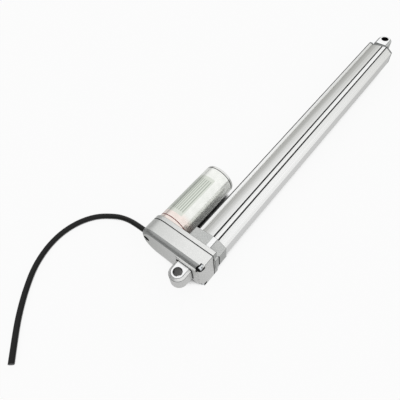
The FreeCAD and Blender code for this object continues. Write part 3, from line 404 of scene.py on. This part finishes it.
# How edges are treated: an edge is sharp from so many degrees, and is rounded where the
# edges beside it are so many times longer than the radius. Points nearer than weld mm
# are merged first, and faces that differ by less than flat degrees.
edgeRules = {"sharp": 28, "room": 1.6, "weld": 0.001, "flat": 0.6, "flatWeight": 80}


# Weighted or else all sharp edges get a radius, and the flats stay flat
def roundEdges(piece, width, segments=3, finish=-1):
    for polygon in piece.data.polygons:
        polygon.use_smooth = True
    weighted = "bevel_weight_edge" in piece.data.attributes
    bevel = piece.modifiers.new("edgeRadius", "BEVEL")
    bevel.width = width * mm
    bevel.segments = segments
    bevel.limit_method = "WEIGHT" if weighted else "ANGLE"
    bevel.angle_limit = math.radians(edgeRules["sharp"])
    bevel.use_clamp_overlap = not weighted
    bevel.miter_outer = "MITER_ARC"
    bevel.material = finish
    flats = piece.modifiers.new("flatFaces", "WEIGHTED_NORMAL")
    flats.weight = edgeRules["flatWeight"]
    flats.keep_sharp = True


# Tests for the zones of a form that get another finish, all in mm
def isInBox(place, low, high):
    return all(low[i] * mm <= place[i] <= high[i] * mm for i in range(3))


def inBox(face, low, high):
    return isInBox(face.calc_center_median(), low, high)


# wall of a bore about an axis: 0 is X, 2 is Z
def onBore(face, axis, centre, radius):
    place = face.calc_center_median()
    rest = [i for i in range(3) if i != axis]
    away = math.hypot(*[place[i] - centre[n] * mm for n, i in enumerate(rest)])
    return away <= radius * mm and abs(face.normal[axis]) < 0.3


# low and high corner of a strip along the outer tube, from its y and z ranges
def tubeStrip(across, up):
    return [(x, across[i], up[i]) for i, x in enumerate((38, 429))]


# Sinks of the housing screws: (across, up), the depth of their floor and a little
# more than their radius
sinks = {"places": [(-17.5, 17.3), (-17.5, -17.3), (54, 2)], "floor": 17.5, "reach": 3.75}


def inSink(face):
    return face.calc_center_median().x < (sinks["floor"] + 0.1) * mm and any(
        onBore(face, 0, place, sinks["reach"]) for place in sinks["places"])


def onSinkFloor(face):
    return (abs(face.calc_center_median().x - sinks["floor"] * mm) < 0.1 * mm
            and abs(face.normal.x) > 0.9)


# pin hole of the eye whose centre is at x
def inEye(face, x):
    return onBore(face, 2, (x, 0), 5.2)


def isEyeFace(face):
    return abs(face.normal.z) > 0.99


# What the castings share: edgeShade is the painted shade on the edges, edge their radius
casting = {"edgeShade": castEdgeShade, "edge": 0.3, "slot": "cast_alloy"}

# Visible castings and sections: the solid's own form, with the radius its making leaves.
# finishes are zones, and a face takes the first one that it belongs to. shadeEdges are strips
# of the tube with the radius of the long edge in each, in painted shade, and cut is a strip
# with the place across where its face is parted, so that the edge gets a line of painted shade
# of its own.
outerForms = {
    "rearHousing": {
        **casting, "node": "rear_housing",
        "finishes": [
            # painted shade in the screw sinks and on their floors
            (recessShade, inSink),
            (recessShade, onSinkFloor),
            # painted shade on the big rounds along the rear and on the bevel on the -Y side
            (castRoundShade, lambda face: face.normal.x < -0.12 and face.normal.z > 0.12),
            (castEdgeShade, lambda face: -0.85 < face.normal.y < -0.5 and face.normal.z > 0.5),
        ]},
    "frontHousing": {
        **casting, "node": "front_housing",
        "finishes": [
            # painted shade in the side slit, the milled pad of the collar, and painted shade on
            # the collar itself
            (recessShade, lambda face: inBox(face, (35.9, -23, -12), (36.7, -21, 16))),
            (recessShade, lambda face: inBox(face, (35.7, -22.2, -12), (36.9, -21, 16))),
            (milledFace, lambda face: inBox(face, (35.2, -12.1, 18), (48, -6.9, 18.4))),
            (castShaded, lambda face: inBox(face, (35.2, -23, -18.4), (47.9, 15.6, 18.4))),
            # painted shade on the sides that look to -Y
            (castShaded, lambda face: face.normal.y < -0.3),
        ]},
    "rearClevis": {
        **casting, "node": "rear_clevis",
        "finishes": [(reamedBoreShade, lambda face: inEye(face, 0)), (milledFace, isEyeFace)]},
    "rodEye": {
        **casting, "node": "rod_eye", "body": "rod",
        "finishes": [(reamedBoreShade, lambda face: inEye(face, 455)), (milledFace, isEyeFace)]},
    "outerTube": {
        "node": "outer_tube", "edgeShade": tubeEdgeShade, "edge": 0.3, "slot": "tube_alloy",
        "plainEdges": True,
        "shadeEdges": [
            (tubeStrip((-6.8, -5.8), (15.6, 16.1)), 0.55),
            (tubeStrip((-12.7, -11.7), (15.6, 16.1)), 0.42),
        ],
        "cut": (tubeStrip((8, 12.3), (14.3, 14.5)), 11.1),
        "finishes": [
            # painted shade on the edge of the lip and both groove floors, wall of the lip,
            # stripe, and painted shade on the round flank
            (tubeEdgeShade, lambda face: inBox(face, *tubeStrip((11.1, 12.3), (14.3, 14.5)))),
            (grooveShade, lambda face: inBox(face, *tubeStrip((-6.71, -5.89), (14, 15.6)))),
            (grooveShade, lambda face: inBox(face, *tubeStrip((-12.61, -11.79), (14, 15.6)))),
            (lipWall, lambda face: inBox(face, *tubeStrip((7.7, 8.2), (12.9, 14.5)))),
            (anodisedTube, lambda face: inBox(face, *tubeStrip((-11.9, -6.6), (15.9, 16.1)))),
            (flankShade, lambda face: inBox(face, *tubeStrip((-5.8, 7.8), (12, 15.9)))),
        ]},
    "tubeEndCap": {
        "node": "tube_end_cap", "edgeShade": tubeEdgeShade, "edge": 0.5, "slot": "tube_alloy",
        "finishes": []},
}
edgeShadeIndex = 1       # the material slot of the edges' painted shade, after the form's own


# The node's triangles merged to clean faces, in a bmesh of their own
def mergeSolid(node):
    bm = bmesh.new()
    bm.from_mesh(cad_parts[node].data)
    bmesh.ops.remove_doubles(bm, verts=bm.verts, dist=edgeRules["weld"] * mm)
    bmesh.ops.dissolve_limit(bm, angle_limit=math.radians(edgeRules["flat"]), verts=bm.verts,
                             edges=bm.edges)
    bm.normal_update()
    bmesh.ops.triangulate(bm, faces=[face for face in bm.faces if len(face.verts) > 4],
                          ngon_method="EAR_CLIP")
    bm.normal_update()
    return bm


def cutStrip(bm, corners, across):
    top = [face for face in bm.faces if inBox(face, *corners)]
    parts = {part for face in top for part in (*face.edges, *face.verts)}
    bmesh.ops.bisect_plane(bm, geom=top + list(parts), dist=edgeRules["weld"] * mm,
                           plane_co=(0, across * mm, 0), plane_no=(0, 1, 0))


# The form's finishes in the order of their material slots, with each face put in one
def giveFinishes(bm, form):
    finishes = [nodeFinish[form["node"]], form["edgeShade"]]
    for finish, belongs in form["finishes"]:
        if finish not in finishes:
            finishes.append(finish)
    for face in bm.faces:
        zone = [finish for finish, belongs in form["finishes"] if belongs(face)]
        face.material_index = finishes.index(zone[0]) if zone else 0
    return finishes


def shadeEdge(bm, corners, width):
    edges = [edge for edge in bm.edges
             if abs(edge.verts[0].co.x - edge.verts[1].co.x) > 100 * mm
             and all(isInBox(vert.co, *corners) for vert in edge.verts)]
    bmesh.ops.bevel(bm, geom=edges, offset=width * mm, segments=3, affect="EDGES",
                    profile=0.5, material=edgeShadeIndex)


# Only edges with room for the radius get one, so that none is squeezed to nothing
def weighEdges(bm, width):
    weight = bm.edges.layers.float.new("bevel_weight_edge")
    for edge in bm.edges:
        room = min(near.calc_length() for vert in edge.verts for near in vert.link_edges)
        sharp = (edge.is_manifold
                 and edge.calc_face_angle() > math.radians(edgeRules["sharp"]))
        edge[weight] = float(sharp and edge.is_convex
                             and room > edgeRules["room"] * width * mm
                             and all(face.material_index != edgeShadeIndex
                                     for face in edge.link_faces))
        edge.smooth = not sharp or edge[weight] > 0
    return sum(edge[weight] > 0 for edge in bm.edges)


def dressOuterForms():
    for name, form in outerForms.items():
        bm = mergeSolid(form["node"])
        if "cut" in form:
            cutStrip(bm, *form["cut"])
        finishes = giveFinishes(bm, form)
        for corners, width in form.get("shadeEdges", []):
            shadeEdge(bm, corners, width)
        print(name, "edges rounded:", weighEdges(bm, form["edge"]))
        piece = addPiece(name, bm, finishes, form.get("body", "actuator_body"),
                         [form["node"]])
        roundEdges(piece, form["edge"], finish=-1 if form.get("plainEdges") else edgeShadeIndex)


dressOuterForms()
print("castings and sections dressed")


# A turned part: its (along, radius) outline spun about a line through the given place
def turnedForm(outline, place, direction, segments):
    bm = bmesh.new()
    verts = [bm.verts.new((along * mm, 0, radius * mm)) for along, radius in outline]
    edges = [bm.edges.new(pair) for pair in zip(verts, verts[1:])]
    bmesh.ops.spin(bm, geom=verts + edges, cent=(0, 0, 0), axis=(1, 0, 0),
                   angle=2 * math.pi, steps=segments, use_merge=True)
    bmesh.ops.remove_doubles(bm, verts=bm.verts, dist=0.0005 * mm)
    bmesh.ops.recalc_face_normals(bm, faces=bm.faces)
    turn = Vector((1, 0, 0)).rotation_difference(Vector(direction)).to_matrix().to_4x4()
    bmesh.ops.transform(bm, verts=bm.verts,
                        matrix=Matrix.Translation([v * mm for v in place]) @ turn)
    return bm


# Part of a rounding, as (along, radius) points about a centre
def arc(centre, radius, start, end, count):
    angles = [math.radians(start + (end - start) * i / count) for i in range(count + 1)]
    return [(centre[0] + radius * math.cos(a), centre[1] + radius * math.sin(a))
            for a in angles]


def smoothPiece(piece, angle=35):
    for polygon in piece.data.polygons:
        polygon.use_smooth = True
    piece.data.set_sharp_from_angle(angle=math.radians(angle))


def wrapLabel():
    start, end, radius, lip = [label[key] for key in ("start", "end", "radius", "lip")]
    inner = radius - label["thickness"]
    outline = [(start, inner), (start, radius - lip), (start + lip, radius),
               (end - lip, radius), (end, radius - lip), (end, inner), (start, inner)]
    bm = turnedForm(outline, (0, label["axis"], 0), (1, 0, 0), label["segments"])
    smoothPiece(addPiece("motorLabel", bm, [labelFilm], "actuator_body",
                         ["motor_label"]))


# Closing cap of the motor: a joint groove in painted shade, a rolled rim, a dished face with a
# boss over the bearing, and the spigot that centres it in the can
motorCap = {
    "start": 111.6, "can": 116.6, "end": 120.2, "radius": 18.3, "spigot": 16.35,
    "wall": 1.1, "plate": 1, "groove": (0.8, 0.5), "rim": 1.0, "rimWidth": 2.6,
    "dish": 0.6, "boss": 7.5, "bush": 3.6, "bushDepth": 2.0, "chamfer": 0.15,
    "slope": 0.35, "slack": 0.05, "segments": 128,
}


def capMotor():
    cap = motorCap
    grooveEnd = cap["can"] + cap["groove"][0]
    grooveFloor = cap["radius"] - cap["groove"][1]
    rimInner = cap["radius"] - cap["rimWidth"]
    face, plate = cap["end"] - cap["dish"], cap["can"] - cap["plate"]
    back, inner = cap["end"] - cap["bushDepth"], cap["spigot"] - cap["wall"]
    chamfer, slope, slack = cap["chamfer"], cap["slope"], cap["slack"]
    outline = [(back, 0), (back, cap["bush"]), (plate, cap["bush"]),
               (plate, inner), (cap["start"], inner), (cap["start"], cap["spigot"]),
               (cap["can"], cap["spigot"]), (cap["can"], grooveFloor),
               (grooveEnd, grooveFloor), (grooveEnd, cap["radius"] - chamfer),
               (grooveEnd + chamfer, cap["radius"])]
    outline += arc((cap["end"] - cap["rim"], cap["radius"] - cap["rim"]), cap["rim"], 90, 0, 8)
    outline += [(cap["end"], rimInner + 2 * chamfer), (cap["end"] - chamfer, rimInner),
                (face + chamfer, rimInner - slope), (face, rimInner - 2 * slope),
                (face, cap["boss"] + 2 * slope), (face + chamfer, cap["boss"] + slope),
                (cap["end"] - chamfer, cap["boss"]), (cap["end"], cap["boss"] - 2 * chamfer),
                (cap["end"], 0)]
    bm = turnedForm(outline, (0, label["axis"], 0), (1, 0, 0), cap["segments"])
    for part in bm.faces:
        centre = part.calc_center_median()
        away = math.hypot(centre.y - label["axis"] * mm, centre.z)
        inGroove = cap["can"] * mm <= centre.x <= (grooveEnd + slack) * mm
        part.material_index = int(inGroove and away < (cap["radius"] - slack) * mm
                                  and away > (cap["spigot"] + slack) * mm)
    smoothPiece(addPiece("motorEndCap", bm, [canSteel, recessShade], "actuator_body",
                         ["motor_end_cap"]))


wrapLabel()
capMotor()
print("motor closed and labelled")


# Screws: (across, up) of each axis, all along X; the heads look out at the low or high end
screws = {
    "housingScrews": {
        "node": "housing_screws", "places": sinks["places"], "seat": sinks["floor"],
        "face": 12.2, "head": 2.2, "shank": 1.5, "end": 33.6, "socket": 1.1,
        "socketDepth": 1.5, "crown": 0.9},
    "endCapScrews": {
        "node": "end_cap_screws",
        "places": [(-13.6, 10.6), (-13.6, -10.6), (10.1, 8.9), (10.1, -8.9)],
        "seat": 431, "face": 432.2, "head": 1.5, "shank": 0.9, "end": 422, "socket": 0.8,
        "socketDepth": 0.7, "crown": 0.35},
}
# what both sizes share: the socket's round mouth as a multiple of the hexagon, the
# chamfer at the tip, and the steps of the dome and round the axis
screwShape = {"mouth": 1.25, "tip": 0.3, "domeSteps": 6, "segments": 24}


# One screw: turned from its socket's mouth over the domed head down to the shank's tip, then a
# hexagon socket is let into the head, with painted shade on the socket's walls
def makeScrew(bm, screw, place):
    look = 1 if screw["face"] > screw["seat"] else -1
    height = abs(screw["face"] - screw["seat"])
    tip = -height - abs(screw["seat"] - screw["end"])
    head, crown, shank = screw["head"], screw["crown"], screw["shank"]
    mouth, chamfer = screw["socket"] * screwShape["mouth"], screwShape["tip"]
    outline = [(0, mouth)]
    for i in range(screwShape["domeSteps"]):
        turn = (i + 1) / screwShape["domeSteps"] * math.pi / 2
        outline.append((-crown * (1 - math.cos(turn)), mouth + (head - mouth) * math.sin(turn)))
    outline += [(-height, head), (-height, shank), (tip + chamfer, shank),
                (tip, shank - chamfer), (tip, 0)]
    part = turnedForm(outline, (screw["face"], *place), (look, 0, 0), screwShape["segments"])
    rim = [edge for edge in part.edges if edge.is_boundary]
    filled = bmesh.ops.contextual_create(part, geom=rim)["faces"]
    for depth in (0, screw["socketDepth"]):
        made = bmesh.ops.extrude_face_region(part, geom=filled)["geom"]
        bmesh.ops.delete(part, geom=filled, context="FACES_ONLY")
        filled = [item for item in made if isinstance(item, bmesh.types.BMFace)]
        for vert in {vert for face in filled for vert in face.verts}:
            vert.co.x -= look * depth * mm
            if depth == 0:
                across, up = vert.co.y - place[0] * mm, vert.co.z - place[1] * mm
                angle = math.atan2(up, across) % (math.pi / 3) - math.pi / 6
                radius = screw["socket"] * mm * math.cos(math.pi / 6) / math.cos(angle)
                shrink = radius / math.hypot(across, up)
                vert.co.y = place[0] * mm + across * shrink
                vert.co.z = place[1] * mm + up * shrink
    bmesh.ops.recalc_face_normals(part, faces=part.faces)
    for face in part.faces:
        away = math.hypot(*[face.calc_center_median()[i + 1] - place[i] * mm for i in (0, 1)])
        along = (face.calc_center_median().x - screw["face"] * mm) * look
        face.material_index = int(away < screw["socket"] * mm and along < -0.1 * mm
                                  and along > -height * mm)
    mesh = bpy.data.meshes.new("screw")
    part.to_mesh(mesh)
    part.free()
    bm.from_mesh(mesh)
    bpy.data.meshes.remove(mesh)


for name, screw in screws.items():
    bm = bmesh.new()
    for place in screw["places"]:
        makeScrew(bm, screw, place)
    smoothPiece(addPiece(name, bm, [zincPlate, recessShade], "actuator_body",
                         [screw["node"]]), 50)
print("screws set")

# Cable gland: a short tapered rubber sleeve with ribs, pressed into the housing.
# The ribs are (distance from the housing's face, radius).
gland = {"place": (19, 0, -6.5), "start": 51, "face": 61, "end": 63.2, "radius": 3.6,
         "neck": 3.05, "bore": 1.8, "segments": 48,
         "ribs": [(-0.3, 3.6), (0.2, 3.6), (0.45, 3.3), (0.75, 3.3), (1, 3.58), (1.5, 3.5),
                  (1.7, 3.15)]}


def plugGland():
    outline = [(gland["start"], gland["bore"]), (gland["start"], gland["radius"])]
    outline += [(gland["face"] + along, radius) for along, radius in gland["ribs"]]
    outline += [(gland["end"], gland["neck"]), (gland["end"], gland["bore"]),
                (gland["start"], gland["bore"])]
    bm = turnedForm(outline, gland["place"], (0, 1, 0), gland["segments"])
    smoothPiece(addPiece("cableGland", bm, [blackRubber], "actuator_body",
                         ["cable_grommet"]))


plugGland()

# A flat black rubber frame with soft edges on the boss round the root of the ear: a dark thing
# put there as the painted shadow line where the ear meets the boss
earShadeRim = {"halfWidth": 9.5, "halfHeight": 10, "corner": 2.5, "width": 0.9, "start": 8.95,
           "end": 9.8, "clear": 0.02, "edge": 0.15}


def shadeRimEar():
    shadeRim = earShadeRim
    bm = bmesh.new()
    bmesh.ops.create_grid(bm, x_segments=1, y_segments=1, size=1)
    for vert in bm.verts:
        side, up = vert.co.x, vert.co.y
        vert.co = (shadeRim["start"] * mm, side * (shadeRim["halfWidth"] + shadeRim["clear"]) * mm,
                   up * (shadeRim["halfHeight"] + shadeRim["clear"]) * mm)
    bmesh.ops.bevel(bm, geom=bm.verts[:], offset=shadeRim["corner"] * mm, affect="VERTICES",
                    segments=1, profile=0.5, material=-1)
    rim = [edge for edge in bm.edges if edge.is_boundary]
    hole = bm.faces[:]
    made = bmesh.ops.extrude_edge_only(bm, edges=rim)["geom"]
    for vert in [item for item in made if isinstance(item, bmesh.types.BMVert)]:
        for i, half in ((1, shadeRim["halfWidth"]), (2, shadeRim["halfHeight"])):
            vert.co[i] *= 1 + shadeRim["width"] / half
    bmesh.ops.delete(bm, geom=hole, context="FACES_ONLY")
    bmesh.ops.recalc_face_normals(bm, faces=bm.faces)
    made = bmesh.ops.extrude_face_region(bm, geom=bm.faces[:])["geom"]
    bmesh.ops.translate(bm, verts=[v for v in made if isinstance(v, bmesh.types.BMVert)],
                        vec=((shadeRim["end"] - shadeRim["start"]) * mm, 0, 0))
    bmesh.ops.recalc_face_normals(bm, faces=bm.faces)
    piece = addPiece("earShadeRim", bm, [blackRubber], "actuator_body")
    roundEdges(piece, shadeRim["edge"], 2)


shadeRimEar()
print("rubber parts in")

# Camera: solved from the photograph's edges
view = {"place": (-0.09217, -0.13225, 0.35363), "turn": (34.641, 3.730, -50.708),
        "lens": 34.886, "sensor": 36}


def placeCamera():
    data = bpy.data.cameras.new("camera")
    data.lens = view["lens"]
    data.sensor_width = view["sensor"]
    camera = bpy.data.objects.new("camera", data)
    camera.location = view["place"]
    camera.rotation_euler = [math.radians(angle) for angle in view["turn"]]
    bpy.context.scene.collection.objects.link(camera)
    bpy.context.scene.camera = camera


# Studio: white paper, a white tent overhead and a darker room below it.
# The sky's stops are (sine of the height above the horizon, colour). The side lift
# brings the white further down on the -Y side, where the tent reaches the table, and
# the front lift does so from a little behind the object on towards +X.
# How open the sky is over the paper is looked up within reach mm, in so many samples, and
# darkens the paper as painted shadow.
studio = {
    "floorSize": 6, "floorHeight": -20.5, "seenGlow": 0.92, "mirroredGlow": (0.08, 0.66),
    "paper": "#d2d2d2", "shadow": "#1c1c1c", "reach": 40, "samples": 16,
    "gapOpen": (0.2, 0.42), "paperOpen": (0.1, 0.6), "sideLift": 0.6, "frontLift": 0.3,
    "frontFrom": 0.3,
    "sky": [(-1, "#8a8a8a"), (-0.02, "#6a6a6a"), (0.02, "#5c5c5c"), (0.24, "#808080"),
            (0.3, "#acacac"), (0.39, "#d2d2d2"), (0.52, "#e6e6e6"), (0.62, "#f4f4f4"),
            (0.7, "#ffffff"), (1, "#ffffff")],
    "skyStrength": 1.0, "seenSky": "#fafafa",
}


def layFloor():
    bm = bmesh.new()
    bmesh.ops.create_grid(bm, x_segments=1, y_segments=1, size=studio["floorSize"] / 2,
                          matrix=Matrix.Translation((0, 0, studio["floorHeight"] * mm)))
    mesh = bpy.data.meshes.new("floor")
    bm.to_mesh(mesh)
    bm.free()
    floor = bpy.data.objects.new("floor", mesh)
    bpy.context.scene.collection.objects.link(floor)
    material, tree = newMaterial("paperSweepWhite")
    # painted shadow: how open the sky is over a spot of the paper darkens its colour and its
    # glow under and between the parts
    opening = addNode(tree, "ShaderNodeAmbientOcclusion",
                      {"Distance": studio["reach"] * mm,
                       "samples": studio["samples"]}).outputs["AO"]
    lit, clear = [addNode(tree, "ShaderNodeMapRange",
                          {"interpolation_type": "SMOOTHSTEP", "From Min": low,
                           "From Max": high}, {"Value": opening}).outputs[0]
                  for low, high in (studio["paperOpen"], studio["gapOpen"])]
    tone = addNode(tree, "ShaderNodeValToRGB",
                   {"stops": [(0, studio["shadow"]), (1, studio["paper"])]},
                   {"Fac": lit}).outputs["Color"]
    paper = addNode(tree, "ShaderNodeBsdfDiffuse", {}, {"Color": tone})
    path = addNode(tree, "ShaderNodeLightPath")
    # metal mirrors a glowing sheet, with painted shadow where little sky is over it
    mirrored = addNode(tree, "ShaderNodeMath", {"operation": "MAXIMUM"},
                       {0: path.outputs["Is Glossy Ray"],
                        1: path.outputs["Is Transmission Ray"]})
    dim, bright = studio["mirroredGlow"]
    level = addNode(tree, "ShaderNodeMath",
                    {"operation": "MULTIPLY_ADD", 1: bright - dim, 2: dim}, {0: clear})
    strength = addNode(tree, "ShaderNodeMath", {"operation": "MAXIMUM"},
                       {0: path.outputs["Is Camera Ray"], 1: level.outputs[0]})
    glow = addNode(tree, "ShaderNodeEmission", {"Color": linear("#ffffff")},
                   {"Strength": strength.outputs[0]})
    seen = addNode(tree, "ShaderNodeMath", {"operation": "MULTIPLY", 1: studio["seenGlow"]},
                   {0: path.outputs["Is Camera Ray"]})
    seen = addNode(tree, "ShaderNodeMath", {"operation": "MULTIPLY"},
                   {0: seen.outputs[0], 1: clear})
    share = addNode(tree, "ShaderNodeMath", {"operation": "MAXIMUM"},
                    {0: seen.outputs[0], 1: mirrored.outputs[0]})
    both = addNode(tree, "ShaderNodeMixShader", {},
                   {"Fac": share.outputs[0], 1: paper.outputs[0], 2: glow.outputs[0]})
    addNode(tree, "ShaderNodeOutputMaterial", {}, {"Surface": both.outputs[0]})
    mesh.materials.append(material)


def lightStudio():
    world = bpy.data.worlds.new("studio")
    world.use_nodes = True
    tree = world.node_tree
    tree.nodes.clear()
    direction = addNode(tree, "ShaderNodeTexCoord").outputs["Generated"]
    parts = addNode(tree, "ShaderNodeSeparateXYZ", {}, {"Vector": direction})
    side = addNode(tree, "ShaderNodeMath", {"operation": "MULTIPLY", 1: -1},
                   {0: parts.outputs["Y"]})
    side = addNode(tree, "ShaderNodeMath", {"operation": "MAXIMUM", 1: 0},
                   {0: side.outputs[0]})
    lifted = addNode(tree, "ShaderNodeMath",
                     {"operation": "MULTIPLY_ADD", 1: studio["sideLift"]},
                     {0: side.outputs[0], 2: parts.outputs["Z"]})
    ahead = addNode(tree, "ShaderNodeMath", {"operation": "ADD", 1: studio["frontFrom"]},
                    {0: parts.outputs["X"]})
    ahead = addNode(tree, "ShaderNodeMath", {"operation": "MAXIMUM", 1: 0},
                    {0: ahead.outputs[0]})
    lifted = addNode(tree, "ShaderNodeMath",
                     {"operation": "MULTIPLY_ADD", 1: studio["frontLift"]},
                     {0: ahead.outputs[0], 2: lifted.outputs[0]})
    height = addNode(tree, "ShaderNodeMapRange", {"From Min": -1, "From Max": 1},
                     {"Value": lifted.outputs[0]})
    stops = [((1 + sine) / 2, colour) for sine, colour in studio["sky"]]
    sky = addNode(tree, "ShaderNodeValToRGB", {"stops": stops},
                  {"Fac": height.outputs[0]}).outputs["Color"]
    # seen straight on, the tent is as white as the paper
    path = addNode(tree, "ShaderNodeLightPath")
    sky = addNode(tree, "ShaderNodeMix", {"data_type": "RGBA", 7: linear(studio["seenSky"])},
                  {0: path.outputs["Is Camera Ray"], 6: sky}).outputs[2]
    glow = addNode(tree, "ShaderNodeBackground", {"Strength": studio["skyStrength"]},
                   {"Color": sky})
    addNode(tree, "ShaderNodeOutputWorld", {}, {"Surface": glow.outputs[0]})
    bpy.context.scene.world = world


placeCamera()
layFloor()
lightStudio()
bpy.context.scene.view_settings.view_transform = "Standard"
print("camera, floor and lights placed")
